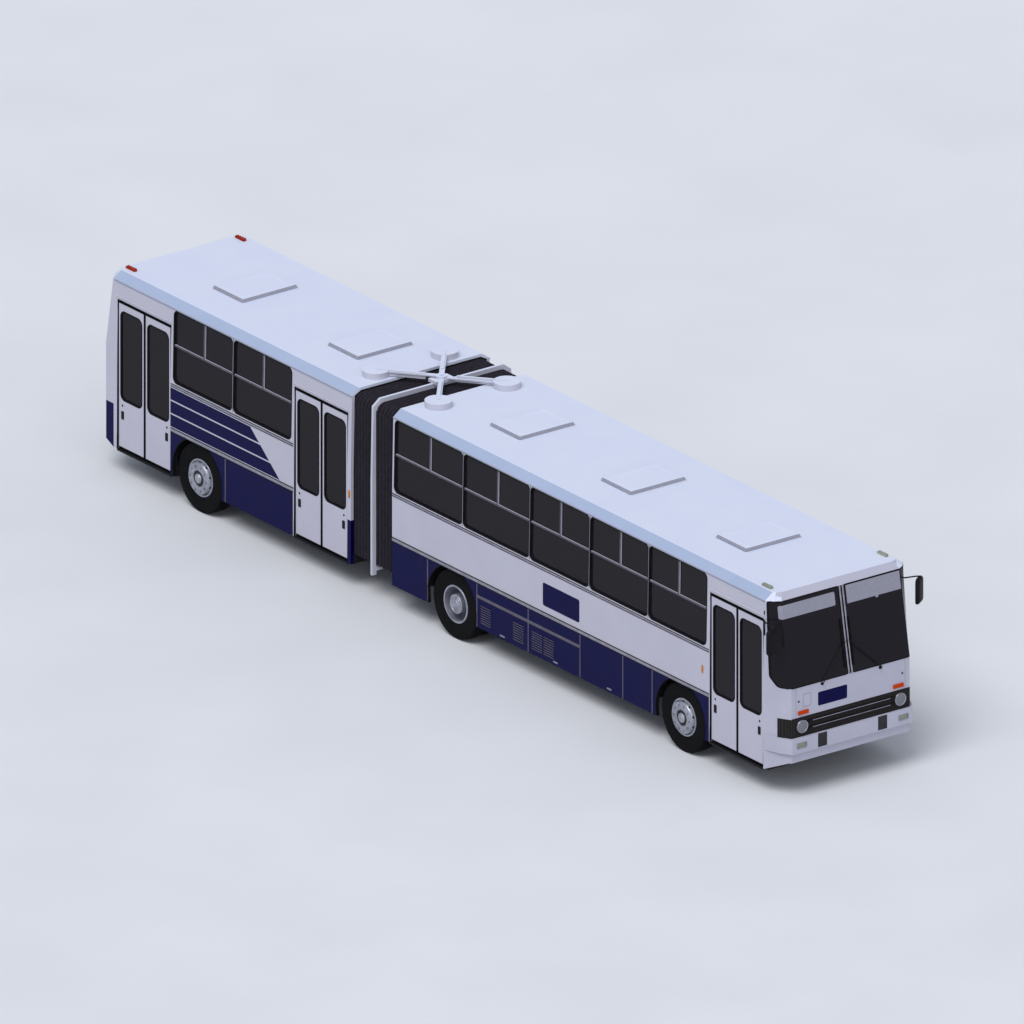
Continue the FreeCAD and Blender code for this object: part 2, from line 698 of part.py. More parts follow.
def roof(section):
    """Roof shell with sloping shoulders, an end cap and its hatches."""
    span = SPANS[section]
    shell = along_x(span[0], span[1], [
        (f"-({GUTTER_HALF})", "gutter_high"),
        ("-roof_half", "roof_high"),
        ("roof_half", "roof_high"),
        (GUTTER_HALF, "gutter_high"),
        (f"{GUTTER_HALF}-wall_thick", "gutter_high"),
        ("roof_half-30", "roof_high-roof_thick"),
        ("-roof_half+30", "roof_high-roof_thick"),
        (f"-({GUTTER_HALF}-wall_thick)", "gutter_high"),
    ])
    if section == "front":
        low = plan(MASK_TOP)
        high = plan([
            ("mask_side", "roof_half"),
            ("mask_side+40", "roof_half-40"),
            ("mask_side+70", "roof_half-120"),
        ])
    else:
        low = plan(TAIL_TOP)
        high = plan([
            ("tail_side", "roof_half"),
            ("tail_side-20", "roof_half"),
            ("tail_side-110", "roof_half-110"),
        ])
    pieces = [shell, loft("gutter_high", low, "roof_high", high)]
    for where, front in HATCHES:
        if where == section:
            pieces.append(loft(
                "roof_high",
                [(f"{front}-hatch_long", "-hatch_half"), (front, "-hatch_half"),
                 (front, "hatch_half"), (f"{front}-hatch_long", "hatch_half")],
                "roof_high+hatch_high",
                [(f"{front}-hatch_long+25", "-hatch_half+25"), (f"{front}-25", "-hatch_half+25"),
                 (f"{front}-25", "hatch_half-25"), (f"{front}-hatch_long+25", "hatch_half-25")],
            ))
    return fuse(pieces)


node("front_roof", roof("front"))
node("rear_roof", roof("rear"))


def inset(corners, depth):
    """A plan outline moved inwards by a wall's thickness."""
    (x0, y0), (x1, y1), (x2, y2) = corners
    sign = "-" if x0.startswith("mask") else "+"
    return [
        (f"{x0}", f"{y0}-({depth})"),
        (f"{x1}{sign}({depth})*0.6", f"{y1}-({depth})*0.9"),
        (f"{x2}{sign}({depth})", f"{y2}-({depth})*0.6"),
    ]


def pane_outline(side, gap):
    """One half of the windscreen from the front, its lower outer corner cut off."""
    edge = f"{side}*(half_width-screen_edge-({gap}))"
    corner = f"{side}*(half_width-screen_edge-screen_cut-({gap}))"
    post = f"{side}*(screen_post/2+({gap}))"
    return [
        (post, f"screen_low+5+({gap})"),
        (corner, f"screen_low+5+({gap})"),
        (edge, f"screen_low+5+screen_cut_high+({gap})"),
        (edge, f"gutter_high-35-({gap})"),
        (post, f"gutter_high-35-({gap})"),
    ]


def front_mask():
    """The front: a faceted shell, open for the windscreen, with a post in its middle."""
    lower = cut(
        along_z("skirt_low", "screen_low", plan(MASK_SILL)),
        [along_z("skirt_low-10", "screen_low+10", plan(inset(MASK_SILL, "wall_thick"))),
         along_y("-half_width-10", "half_width+10", [
             ("mask_side", "skirt_low"),
             ("mask_side", "skirt_low-10"),
             ("mask_x+10", "skirt_low-10"),
             ("mask_x+10", "valance_low"),
             ("mask_x-30", "valance_low"),
         ])],
    )
    upper = cut(
        loft("screen_low", plan(MASK_SILL), "gutter_high", plan(MASK_TOP)),
        [loft("screen_low", plan(inset(MASK_SILL, "wall_thick")),
              "gutter_high", plan(inset(MASK_TOP, "wall_thick")))],
    )
    opening = new_body()
    sketch = sketch_on(opening, "YZ", "mask_side-100")
    for side in (-1, 1):
        polygon(sketch, pane_outline(side, 0))
    pad(opening, sketch, 600)
    return fuse([lower, cut(upper, [opening])])


node("front_mask", front_mask())


def windscreen():
    """Two panes that follow the mask round its corners."""
    band = cut(
        loft("screen_low", plan(inset(MASK_SILL, "glass_deep-10")),
             "gutter_high", plan(inset(MASK_TOP, "glass_deep-10"))),
        [loft("screen_low", plan(inset(MASK_SILL, "glass_deep-10+glass_thick*1.5")),
              "gutter_high", plan(inset(MASK_TOP, "glass_deep-10+glass_thick*1.5")))],
    )
    panes = new_body()
    sketch = sketch_on(panes, "YZ", "mask_side-100")
    for side in (-1, 1):
        polygon(sketch, pane_outline(side, "fit_gap"))
    pad(panes, sketch, 600)
    return common(panes, band)


node("front_glass", group([side_glass("front", 1), side_glass("front", -1), windscreen()]))


def tail_panel():
    """The tail: upright to the window sill, then leaning forward, with its window cut."""
    sill = "waist_high+150"
    lower = cut(
        along_z("skirt_low", sill, plan(TAIL_LOW)),
        [along_z("skirt_low-10", f"{sill}+10", plan(inset(TAIL_LOW, "wall_thick"))),
         along_y("-half_width-10", "half_width+10", [
             ("tail_side", "skirt_low"),
             ("tail_side", "skirt_low-10"),
             ("tail_x-10", "skirt_low-10"),
             ("tail_x-10", "skirt_low+tail_rise"),
         ])],
    )
    upper = cut(
        loft(sill, plan(TAIL_LOW), "gutter_high", plan(TAIL_TOP)),
        [loft(sill, plan(inset(TAIL_LOW, "wall_thick")),
              "gutter_high", plan(inset(TAIL_TOP, "wall_thick")))],
    )
    hole = new_body()
    sketch = sketch_on(hole, "YZ", "tail_x-100")
    half = "(half_width-tail_window_inset)"
    rounded(sketch, f"-{half}", half, f"{sill}+40", "gutter_high-230", "window_round")
    pad(hole, sketch, 400)
    return fuse([lower, cut(upper, [hole])])


node("tail_panel", tail_panel())


def tail_window():
    sill = "waist_high+150"
    band = cut(
        loft(sill, plan(inset(TAIL_LOW, "glass_deep")), "gutter_high", plan(inset(TAIL_TOP, "glass_deep"))),
        [loft(sill, plan(inset(TAIL_LOW, "glass_deep+glass_thick")),
              "gutter_high", plan(inset(TAIL_TOP, "glass_deep+glass_thick")))],
    )
    pane = new_body()
    sketch = sketch_on(pane, "YZ", "tail_x-100")
    half = "(half_width-tail_window_inset)"
    rounded(sketch, f"-{half}+fit_gap", f"{half}-fit_gap", f"{sill}+40+fit_gap", "gutter_high-230-fit_gap",
            "window_round-fit_gap")
    pad(pane, sketch, 400)
    return common(pane, band)


node("rear_glass", group([side_glass("rear", 1), side_glass("rear", -1), tail_window()]))


def portal(section, x_low, x_high):
    """The frame that closes a section's end and carries the bellows."""
    half = "(half_width-wall_thick)"
    top = "(roof_high-roof_thick)"
    return along_x(x_low, x_high, [
        (f"-{half}", "floor_high"),
        (f"-{half}", "waist_high"),
        (f"-{half}+wall_lean", "gutter_high"),
        ("-roof_half+30", top),
        ("roof_half-30", top),
        (f"{half}-wall_lean", "gutter_high"),
        (half, "waist_high"),
        (half, "floor_high"),
        (f"{half}-portal_deep", "floor_high"),
        (f"{half}-portal_deep", f"{top}-portal_deep-60"),
        ("roof_half-30-portal_deep", f"{top}-portal_deep"),
        ("-roof_half+30+portal_deep", f"{top}-portal_deep"),
        (f"-{half}+portal_deep", f"{top}-portal_deep-60"),
        (f"-{half}+portal_deep", "floor_high"),
    ])


node("front_portal", portal("front", FRONT_END, f"{FRONT_END}+portal_thick"))
node("rear_portal", portal("rear", f"{REAR_END}-portal_thick", REAR_END))


# --------------------------------------------------------------------------------------
# Front trim: bumper with its grille, lamps, mirrors with the wipers
# --------------------------------------------------------------------------------------
BUMPER_PLAN = [
    ("mask_side+30", "half_width+4"),
    ("mask_corner+28", "half_width-70"),
    ("half_length", "half_width-180"),
]


def front_bumper():
    """Bumper beam that follows the mask's corners, and above it two bars across the grille band."""
    beam = cut(
        along_z("bumper_low", "bumper_high", plan(BUMPER_PLAN)),
        [along_z("bumper_low-10", "bumper_high+10", plan(inset(MASK_SILL, "-fit_gap")))],
    )
    sockets = []
    for side in (-1, 1):
        sockets.append(fog_block(side, "mask_x-10", "half_length+10", "fit_gap"))
        sockets.append(box("half_length-recess_deep", "half_length+10", f"{side}*recess_y-recess_wide/2",
                           f"{side}*recess_y+recess_wide/2", "recess_low", "recess_high"))
    pieces = [cut(beam, sockets)]
    reach = "(lamp_y-lamp_radius-25)"
    for level in ("bumper_high+bar_low", "bumper_high+bar_low+bar_step"):
        pieces.append(box("mask_x+fit_gap", "mask_x+bar_reach", f"-{reach}", reach, level, f"{level}+bar_high"))
    return group(pieces)


def fog_block(side, x_low, x_high, gap):
    """The block of a fog lamp, or with a gap round it the socket that takes it."""
    return box(x_low, x_high, f"{side}*fog_y-fog_wide/2-({gap})", f"{side}*fog_y+fog_wide/2+({gap})",
               f"fog_z-fog_high/2-({gap})", f"fog_z+fog_high/2+({gap})")


node("front_bumper", front_bumper())


def roof_marker(x_low, side, flat_y):
    return box(x_low, f"{x_low}+marker_long", f"{side}*{flat_y}-marker_wide/2", f"{side}*{flat_y}+marker_wide/2",
               "roof_high+fit_gap", "roof_high+marker_high")


def front_lamps():
    """Headlamps, fog lamps, direction lamps and the marker lamps on the roof edge."""
    pieces = []
    for side in (-1, 1):
        pieces.append(rod("X", "mask_x+fit_gap", f"{side}*lamp_y", "lamp_z", "lamp_radius", 30))
        pieces.append(fog_block(side, "mask_x+fit_gap", "half_length-6", 0))
        pieces.append(box("mask_x+fit_gap", "mask_x+22", f"{side}*winker_y-winker_wide/2",
                          f"{side}*winker_y+winker_wide/2", "winker_low", "winker_low+winker_high"))
        pieces.append(roof_marker("mask_side-200", side, "marker_y"))
    return group(pieces)


node("front_lamps", front_lamps())


def mask_side_face(x, level):
    """Half width of the mask's side facet at a place and a height."""
    share = f"(({level}-screen_low)/(gutter_high-screen_low))"
    back = f"(half_width-wall_lean*{share})"
    corner = f"(mask_corner-corner_rake*{share})"
    return f"({back}-({back}-half_width+mask_taper)*({x}-mask_side)/({corner}-mask_side))"


def mirrors():
    """A mirror at each front corner, hung from a bent flat bar that is screwed to the mask."""
    pieces = []
    middle = "(half_width+mirror_out)"
    root, bend, hanger = "(mask_side+15)", "(mask_side+40)", "(mask_side+348)"
    for side, level in ((-1, "mirror_right"), (1, "mirror_left")):
        low = f"({level}+mirror_tall/2+22)"
        pieces.append(fuse([
            box(f"{hanger}-mirror_deep/2", f"{hanger}+mirror_deep/2", f"{side}*{middle}-mirror_wide/2",
                f"{side}*{middle}+mirror_wide/2", f"{level}-mirror_tall/2", f"{level}+mirror_tall/2"),
            rod("Z", hanger, f"{side}*{middle}", level, "mirror_arm/2+2", "mirror_tall/2+2.9*mirror_arm"),
            along_y(f"{side}*{middle}-mirror_arm/2", f"{side}*{middle}+mirror_arm/2", [
                (bend, low), (f"{hanger}+10", f"{low}+mirror_arm"),
                (f"{hanger}+10", f"{low}+2*mirror_arm"), (bend, f"{low}+mirror_arm"),
            ]),
            along_z(low, f"{low}+mirror_arm", [
                (root, f"{side}*({mask_side_face(root, low)}+fit_gap)"),
                (f"{root}+mirror_arm", f"{side}*({mask_side_face(f'({root}+mirror_arm)', low)}+fit_gap)"),
                (f"{bend}+mirror_arm", f"{side}*({middle}+mirror_arm/2)"),
                (bend, f"{side}*({middle}+mirror_arm/2)"),
            ]),
        ]))
    return group(pieces)


node("mirrors", mirrors())

# --------------------------------------------------------------------------------------
# Floors with their steps and wheel housings
# --------------------------------------------------------------------------------------
LINING = "half_width-wall_thick"


# Edge of the stairs towards the aisle, just outside the right chassis rail.
LANDING = "(-rail_y-rail_wide/2-fit_gap)"
HALVES = {"front_axle_x": "housing_half", "drive_axle_x": "fixed_housing_half", "rear_axle_x": "fixed_housing_half"}


def housing(axle, side):
    """An open box over a wheel: top, two ends and an inner wall."""
    half = HALVES[axle]
    wall = "floor_thick"
    near = f"({LINING}-fit_gap)"
    deep = f"({LINING}-housing_deep)"
    low_y, high_y = (f"-{near}", f"-{deep}") if side < 0 else (deep, near)
    inner_low, inner_high = (f"-{near}-10", f"-{deep}-{wall}") if side < 0 else (f"{deep}+{wall}", f"{near}+10")
    return cut(
        box(f"{axle}-{half}", f"{axle}+{half}", low_y, high_y, "housing_low", "housing_high"),
        [box(f"{axle}-{half}+{wall}", f"{axle}+{half}-{wall}", inner_low, inner_high,
             "housing_low-10", f"housing_high-{wall}")],
    )


def stairs(middle):
    """Two steps up from the doorway between two boards, and a sill in the doorway itself."""
    side = f"(-({LINING})+stair_inset)"
    second = "(-step_edge)"
    third = "(-step_edge+step_tread)"
    level = "(door_low+(floor_high-door_low)/2)"
    under = "floor_thick"
    back, front = f"({middle}-door_half-sweep_room)", f"({middle}+door_half+sweep_room)"
    steps = along_x(f"{back}-1", f"{front}+1", [
        (side, "door_low"),
        (second, "door_low"),
        (second, level),
        (third, level),
        (third, "floor_high"),
        (LANDING, "floor_high"),
        (LANDING, f"floor_high-{under}"),
        (f"{third}+{under}-fit_gap", f"floor_high-{under}"),
        (f"{third}+{under}-fit_gap", f"{level}-{under}"),
        (f"{second}+{under}", f"{level}-{under}"),
        (f"{second}+{under}", f"door_low-{under}"),
        (side, f"door_low-{under}"),
    ])
    sill = box(f"{middle}-door_half+fit_gap", f"{middle}+door_half-fit_gap", "-half_width+2", f"{side}+10",
               f"door_low-{under}", "door_low")
    boards = [box(start, f"{start}+cheek_thick", side, LANDING, f"door_low-{under}", "floor_high")
              for start in (f"{back}-cheek_thick", front)]
    return fuse([steps, sill] + boards)


def floor(section):
    """The walking surface, cut for wheels and stairs, with its housings and stairs set in."""
    low, high = SPANS[section]
    edge = f"({LINING}-fit_gap)"
    board = ("floor_high-floor_thick", "floor_high")
    pieces = [box(low, high, f"-{edge}", edge, *board)]
    if section == "front":
        pieces.append(box("mask_side-1", "mask_corner-40", "-half_width+175", "half_width-175", *board))
    else:
        pieces.append(box("tail_x+wall_thick+2", "tail_side+1", "-half_width+215", "half_width-215", *board))
    holes = []
    insets = []
    for axle in AXLES[section]:
        half = f"({HALVES[axle]}+fit_gap)"
        for side in (-1, 1):
            near = f"({LINING}+10)"
            deep = f"({LINING}-housing_deep-fit_gap)"
            low_y, high_y = (f"-{near}", f"-{deep}") if side < 0 else (deep, near)
            holes.append(box(f"{axle}-{half}", f"{axle}+{half}", low_y, high_y, 0, "floor_high+100"))
            insets.append(housing(axle, side))
    for name, where, middle in DOORS:
        if where == section:
            half = "(door_half+sweep_room+cheek_thick+fit_gap)"
            holes.append(box(f"{middle}-{half}", f"{middle}+{half}", f"-({LINING})-10", f"{LANDING}+fit_gap",
                             0, "floor_high+100"))
            insets.append(stairs(middle))
    return group([cut(fuse(pieces), holes)] + insets)


for section in ("front", "rear"):
    node(f"{section}_floor", floor(section))


# --------------------------------------------------------------------------------------
# Chassis, engine, axles
# --------------------------------------------------------------------------------------
# Cross members: section, place, outrigger on the right, outrigger on the left.
MEMBERS = [
    ("front", "mask_side-70", False, True),
    ("front", "front_axle_x-840", True, True),
    ("front", "front_axle_x-1890", True, True),
    ("front", "drive_axle_x+2810", True, True),
    ("front", "drive_axle_x+950", True, True),
    ("front", "drive_axle_x-890", True, True),
    ("rear", f"{REAR_END}-1250", False, True),
    ("rear", "rear_axle_x+1650", True, True),
    ("rear", "rear_axle_x+850", True, True),
    ("rear", "rear_axle_x-850", False, True),
    ("rear", "tail_x+185", False, False),
]


def chassis(section, low, high):
    """Two rails with cross members, outriggers to the walls and a towing eye."""
    pieces = []
    for side in (-1, 1):
        pieces.append(box(low, high, f"{side}*rail_y-rail_wide/2", f"{side}*rail_y+rail_wide/2", "rail_low", "rail_high"))
    reach = f"{LINING}-fit_gap"
    for where, x, right, left in MEMBERS:
        if where == section:
            pieces.append(box(f"{x}-30", f"{x}+30", "-rail_y", "rail_y", "rail_low+30", "rail_high-30"))
            low_y = f"-({reach})" if right else "-rail_y"
            high_y = reach if left else "rail_y"
            pieces.append(box(f"{x}-30", f"{x}+30", low_y, high_y, "rail_high-60", "rail_high"))
    half = "(rail_y+rail_wide/2)"
    if section == "front":
        pieces.append(box(low, f"{low}+60", f"-{half}", half, "ring_low", "rail_high"))
        tow_low, tow_high, eye = "mask_side-100", "mask_x-wall_thick-20", "mask_x-wall_thick-90"
    else:
        pieces.append(box(f"{high}-60", high, f"-{half}", half, "ring_low+ring_thick", "rail_high"))
        tow_low, tow_high, eye = "tail_x+wall_thick+5", "tail_x+240", "tail_x+wall_thick+60"
        pieces.append(box("rear_axle_x+1250-jack_pad/2", "rear_axle_x+1250+jack_pad/2", "rail_y-rail_wide/2",
                          "rail_y+rail_wide/2", "rail_low-pad_thick", "rail_low+10"))
    pieces.append(box(tow_low, tow_high, "-tow_radius-34", "tow_radius+34", "rail_low-60", "rail_low+35"))
    hole = rod("Z", eye, 0, "rail_low-100", "tow_radius", 200)
    return cut(fuse(pieces), [hole])


node("front_chassis", chassis("front", f"{FRONT_END}+5", "mask_side-40"))
node("rear_chassis", chassis("rear", "tail_x+150", f"{REAR_END}-5"))
node("engine", box("drive_axle_x+engine_ahead", "drive_axle_x+engine_ahead+engine_long", "-engine_wide/2",
                   "engine_wide/2", "engine_low", "rail_low"))


def spring_seats(axle, low):
    """Air springs between an axle and the rails."""
    return [rod("Z", axle, f"{side}*rail_y", low, "spring_radius", f"rail_low-({low})") for side in (-1, 1)]


def front_axle():
    """Dropped beam with an eye for each kingpin."""
    low, high = "(tyre_radius-beam_drop)", "(tyre_radius+beam_rise)"
    pieces = [
        box("front_axle_x-beam_half", "front_axle_x+beam_half", "-kingpin_y", "kingpin_y", low, high),
        box("front_axle_x-jack_pad/2", "front_axle_x+jack_pad/2", "-jack_pad/2", "jack_pad/2",
            f"{low}-pad_thick", f"{low}+pad_thick"),
    ]
    holes = []
    for side in (-1, 1):
        pieces.append(rod("Z", "front_axle_x", f"{side}*kingpin_y", low, "eye_radius", "beam_drop+beam_rise"))
        holes.append(rod("Z", "front_axle_x", f"{side}*kingpin_y", f"{low}-ear_thick", "kingpin_radius+fit_gap",
                         "beam_drop+beam_rise+2*ear_thick"))
    return cut(fuse(pieces + spring_seats("front_axle_x", high)), holes)


node("front_axle", front_axle())


def axle_tube(axle, reach, radius):
    """A tube across the bus with a thinner spindle that runs out through both wheels."""
    tube = rod("Y", axle, f"-{reach}+tube_end", AXLE_Z, radius, f"2*({reach}-tube_end)")
    spindle = rod("Y", axle, f"-{reach}-spindle_out", AXLE_Z, "spindle_radius", f"2*({reach}+spindle_out)")
    return [tube, spindle]


def drive_axle():
    """Axle tubes with the differential housing in the middle."""
    pieces = axle_tube("drive_axle_x", "(half_width-wheel_inset-tyre_width-twin_gap/2)", "drive_tube")
    pieces += [
        rod("X", "drive_axle_x-gear_half", 0, AXLE_Z, "gear_radius", "2*gear_half"),
        rod("Y", "drive_axle_x", "-cover_half", AXLE_Z, "cover_radius", "2*cover_half"),
        rod("X", "drive_axle_x+gear_half", 0, AXLE_Z, "shaft_radius", "engine_ahead-gear_half-fit_gap"),
    ]
    return fuse(pieces + spring_seats("drive_axle_x", "tyre_radius+drive_rise"))


node("drive_axle", drive_axle())


def rear_axle():
    pieces = axle_tube("rear_axle_x", "(half_width-wheel_inset-tyre_width/2)", "rear_tube")
    return fuse(pieces + spring_seats("rear_axle_x", "tyre_radius+beam_rise"))


node("rear_axle", rear_axle())


def knuckle(side):
    """Fork round the axle's eye, with the kingpin and the wheel's spindle."""
    y = f"{side}*kingpin_y"
    reach = "(half_width-wheel_inset-tyre_width/2)"
    beam_low, beam_high = "(tyre_radius-beam_drop)", "(tyre_radius+beam_rise)"
    low, high = f"({beam_low}-ear_thick)", f"({beam_high}+ear_thick)"
    back, front = "front_axle_x-beam_half", "front_axle_x+beam_half"
    plate = (f"{y}+plate_near", f"{y}+plate_far") if side > 0 else (f"{y}-plate_far", f"{y}-plate_near")
    ears = (f"{y}-ear_thick", f"{y}+plate_far") if side > 0 else (f"{y}-plate_far", f"{y}+ear_thick")
    spindle_from = f"{y}+plate_near" if side > 0 else f"-{reach}-spindle_out"
    pieces = [
        rod("Z", "front_axle_x", y, low, "kingpin_radius", f"{high}-{low}"),
        box(back, front, *ears, low, f"{beam_low}-fit_gap"),
        box(back, front, *ears, f"{beam_high}+fit_gap", high),
        box(back, front, *plate, low, high),
        rod("Y", "front_axle_x", spindle_from, AXLE_Z, "spindle_radius", f"{reach}+spindle_out-kingpin_y-plate_near"),
    ]
    return fuse(pieces)


node("left_knuckle", knuckle(1))
node("right_knuckle", knuckle(-1))


# --------------------------------------------------------------------------------------
# Wheels
# --------------------------------------------------------------------------------------
def tyre_ring(x, y):
    half = "tyre_width/2"
    return turned(x, y, AXLE_Z, [
        ("rim_radius", f"-{half}+30"),
        ("rim_radius+85", f"-{half}"),
        ("tyre_radius-70", f"-{half}"),
        ("tyre_radius", f"-{half}+38"),
        ("tyre_radius", f"{half}-38"),
        ("tyre_radius-70", half),
        ("rim_radius+85", half),
        ("rim_radius", f"{half}-30"),
    ])


def rim(x, y, side, twin):
    """Disc wheel: bulging outwards on the single wheels, deep-dished on the twins."""
    bore = "spindle_radius+fit_gap"
    seat = "rim_radius-fit_gap"
    well = "rim_radius-24"
    blind = "(spindle_out+0.5)"
    if twin:
        reach = "(tyre_width+twin_gap/2)"
        outline = [
            (0, blind), (bore, blind), (bore, -80), (105, -80), (105, -20), (well, -20),
            (well, f"-{reach}+12"), (seat, f"-{reach}+12"), (seat, f"{reach}-12"), (well, f"{reach}-12"),
            (well, 20), (190, 5), (120, 15), (110, 190), (0, 200),
        ]
    else:
        outline = [
            (0, blind), (bore, blind), (bore, -50), (105, -50), (105, 30), (well, 20),
            (well, "-tyre_width/2+12"), (seat, "-tyre_width/2+12"), (seat, "tyre_width/2-12"),
            (well, "tyre_width/2-12"), (well, 60), (175, 95), (110, 88), (100, 140), (0, 150),
        ]
    signed = [(radius, f"{side}*({out})") for radius, out in outline]
    blank = turned(x, y, AXLE_Z, signed)
    holes = []
    for step in range(8):
        turn = math.radians(22.5 + 45 * step)
        holes.append(rod("Y", f"{x}+215*{math.cos(turn):.6f}", f"{y}-110", f"{AXLE_Z}+215*{math.sin(turn):.6f}", 28, 220))
    return cut(blank, holes)


for name, axle, side, twin in WHEELS:
    outer = "half_width-wheel_inset-tyre_width/2"
    middle = "half_width-wheel_inset-tyre_width-twin_gap/2"
    inner = "half_width-wheel_inset-tyre_width*1.5-twin_gap"
    if twin:
        rings = group([tyre_ring(axle, f"{side}*({outer})"), tyre_ring(axle, f"{side}*({inner})")])
        node(f"{name}_tyres", rings)
        node(f"{name}_rims", rim(axle, f"{side}*({middle})", side, True))
    else:
        node(f"{name}_tyre", tyre_ring(axle, f"{side}*({outer})"))
        node(f"{name}_rim", rim(axle, f"{side}*({outer})", side, False))


# --------------------------------------------------------------------------------------
# The joint: turntable, middle hoop, bellows and roof link
# --------------------------------------------------------------------------------------
def race(low, arm_from, arm_to, spread):
    """One race of the turntable and the tongue that joins it to its section."""
    ring = rod("Z", "joint_x", 0, low, "ring_radius", "ring_thick-fit_gap")
    tongue = box(arm_from, arm_to, f"-({spread})", spread, low, f"{low}+ring_thick-fit_gap")
    hole = rod("Z", "joint_x", 0, f"({low})-10", "ring_radius-120", "ring_thick+20")
    return cut(fuse([ring, tongue]), [hole])


node("turntable_base", race("ring_low", "joint_x+150", f"{FRONT_END}+5", "rail_y+rail_wide/2"))
node("turntable_plate", race("ring_low+ring_thick", f"{REAR_END}-5", "joint_x-150", "rail_y+rail_wide/2"))


def hoop():
    """A hoop in the middle of the bellows, its bar under the turntable, the post that rises
    through the races, and on top the block and pin of the roof link."""
    top = "roof_high"
    half = "half_width"
    lean = "wall_lean"
    arch = along_x("joint_x-hoop_thick/2", "joint_x+hoop_thick/2", [
        (f"-{half}", "hoop_low"),
        (f"-{half}", "waist_high"),
        (f"-{half}+{lean}", "gutter_high"),
        ("-roof_half", top),
        ("roof_half", top),
        (f"{half}-{lean}", "gutter_high"),
        (half, "waist_high"),
        (half, "hoop_low"),
        (f"{half}-hoop_deep", "hoop_low"),
        (f"{half}-hoop_deep", "hoop_low+60"),
        (f"-{half}+hoop_deep", "hoop_low+60"),
        (f"-{half}+hoop_deep", "hoop_low"),
    ])
    passage = along_x("joint_x-hoop_thick", "joint_x+hoop_thick", [
        (f"-{half}+hoop_deep", "hoop_low+120"),
        (f"-{half}+hoop_deep+{lean}", "gutter_high-60"),
        ("-roof_half+30", f"{top}-hoop_deep"),
        ("roof_half-30", f"{top}-hoop_deep"),
        (f"{half}-hoop_deep-{lean}", "gutter_high-60"),
        (f"{half}-hoop_deep", "hoop_low+120"),
    ])
    post = rod("Z", "joint_x", 0, "hoop_low+100", "post_wide", "floor_high+6-hoop_low-100")
    disc = rod("Z", "joint_x", 0, "floor_high+6", "disc_radius", 8)
    block = box("joint_x-100", "joint_x+100", -165, 165, top, f"{top}+50")
    pin = rod("Z", "joint_x", 0, f"{top}+50", "link_pin", "2*lug_thick+14")
    return fuse([cut(arch, [passage]), post, disc, block, pin])


node("hoop", hoop())


def bellows(sign):
    """A folded sheath from the hoop to a section's portal: an inverted U whose outline steps
    in and out along the bus."""
    body = new_body()
    folds = 5
    start = f"(hoop_thick/2+fit_gap)"
    run = f"(joint_gap-hoop_thick/2-2*fit_gap)"
    sections = []
    for step in range(2 * folds + 1):
        depth = "0" if step % 2 else "fold_deep"
        x = f"joint_x+({sign})*({start}+{run}*{step}/{2 * folds})"
        side = f"(half_width-bellows_inset-{depth})"
        lean = "wall_lean"
        top = f"(roof_high-bellows_inset-{depth})"
        wall = "bellows_wall"
        sketch = sketch_on(body, "YZ", x)
        polygon(sketch, [
            (f"-{side}", "bellows_low"),
            (f"-{side}+{lean}", f"{top}-95"),
            (f"-{side}+150", top),
            (f"{side}-150", top),
            (f"{side}-{lean}", f"{top}-95"),
            (side, "bellows_low"),
            (f"{side}-{wall}", "bellows_low"),
            (f"{side}-{lean}-{wall}", f"{top}-100"),
            (f"{side}-150-{wall}/2", f"{top}-{wall}"),
            (f"-{side}+150+{wall}/2", f"{top}-{wall}"),
            (f"-{side}+{lean}+{wall}", f"{top}-100"),
            (f"-{side}+{wall}", "bellows_low"),
        ])
        sections.append(sketch)
    feature = body.newObject("PartDesign::AdditiveLoft", "Folds")
    feature.Profile = sections[0]
    feature.Sections = sections[1:]
    feature.Ruled = True
    return body


node("front_bellows", bellows(1))
node("rear_bellows", bellows(-1))


def roof_link(sign, level):
    """A vee over one half of the joint: an eye plate on the pin, two upright arms, two pads."""
    pieces = [rod("Z", "joint_x", 0, level, "link_pin+55", "lug_thick-fit_gap")]
    for side in (-1, 1):
        pad_x = f"joint_x+({sign})*link_reach"
        pad_y = f"{side}*link_spread"
        pieces.append(rod("Z", pad_x, pad_y, "roof_high+fit_gap", "pad_radius", "pad_high"))

        def strip(low, high, half, near):
            share_x = f"{half}*link_spread/sqrt(link_reach^2+link_spread^2)"
            share_y = f"{half}*link_reach/sqrt(link_reach^2+link_spread^2)"
            near_x = f"joint_x+({sign})*link_reach*{near}"
            near_y = f"{side}*link_spread*{near}"
            return along_z(low, high, [
                (f"{near_x}-({sign})*{share_x}", f"{near_y}+({side})*{share_y}"),
                (f"{near_x}+({sign})*{share_x}", f"{near_y}-({side})*{share_y}"),
                (f"{pad_x}+({sign})*{share_x}", f"{pad_y}-({side})*{share_y}"),
                (f"{pad_x}-({sign})*{share_x}", f"{pad_y}+({side})*{share_y}"),
            ])

        pieces.append(strip("roof_high+15", "roof_high+pad_high+10", "link_thick/2", 0.24))
        pieces.append(strip(level, f"{level}+lug_thick-fit_gap", "link_thick", 0.05))
    hole = rod("Z", "joint_x", 0, f"{level}-10", "link_pin+fit_gap", 60)
    return cut(fuse(pieces), [hole])


node("front_roof_link", roof_link(1, "roof_high+50+fit_gap"))
node("rear_roof_link", roof_link(-1, "roof_high+50+lug_thick+fit_gap"))


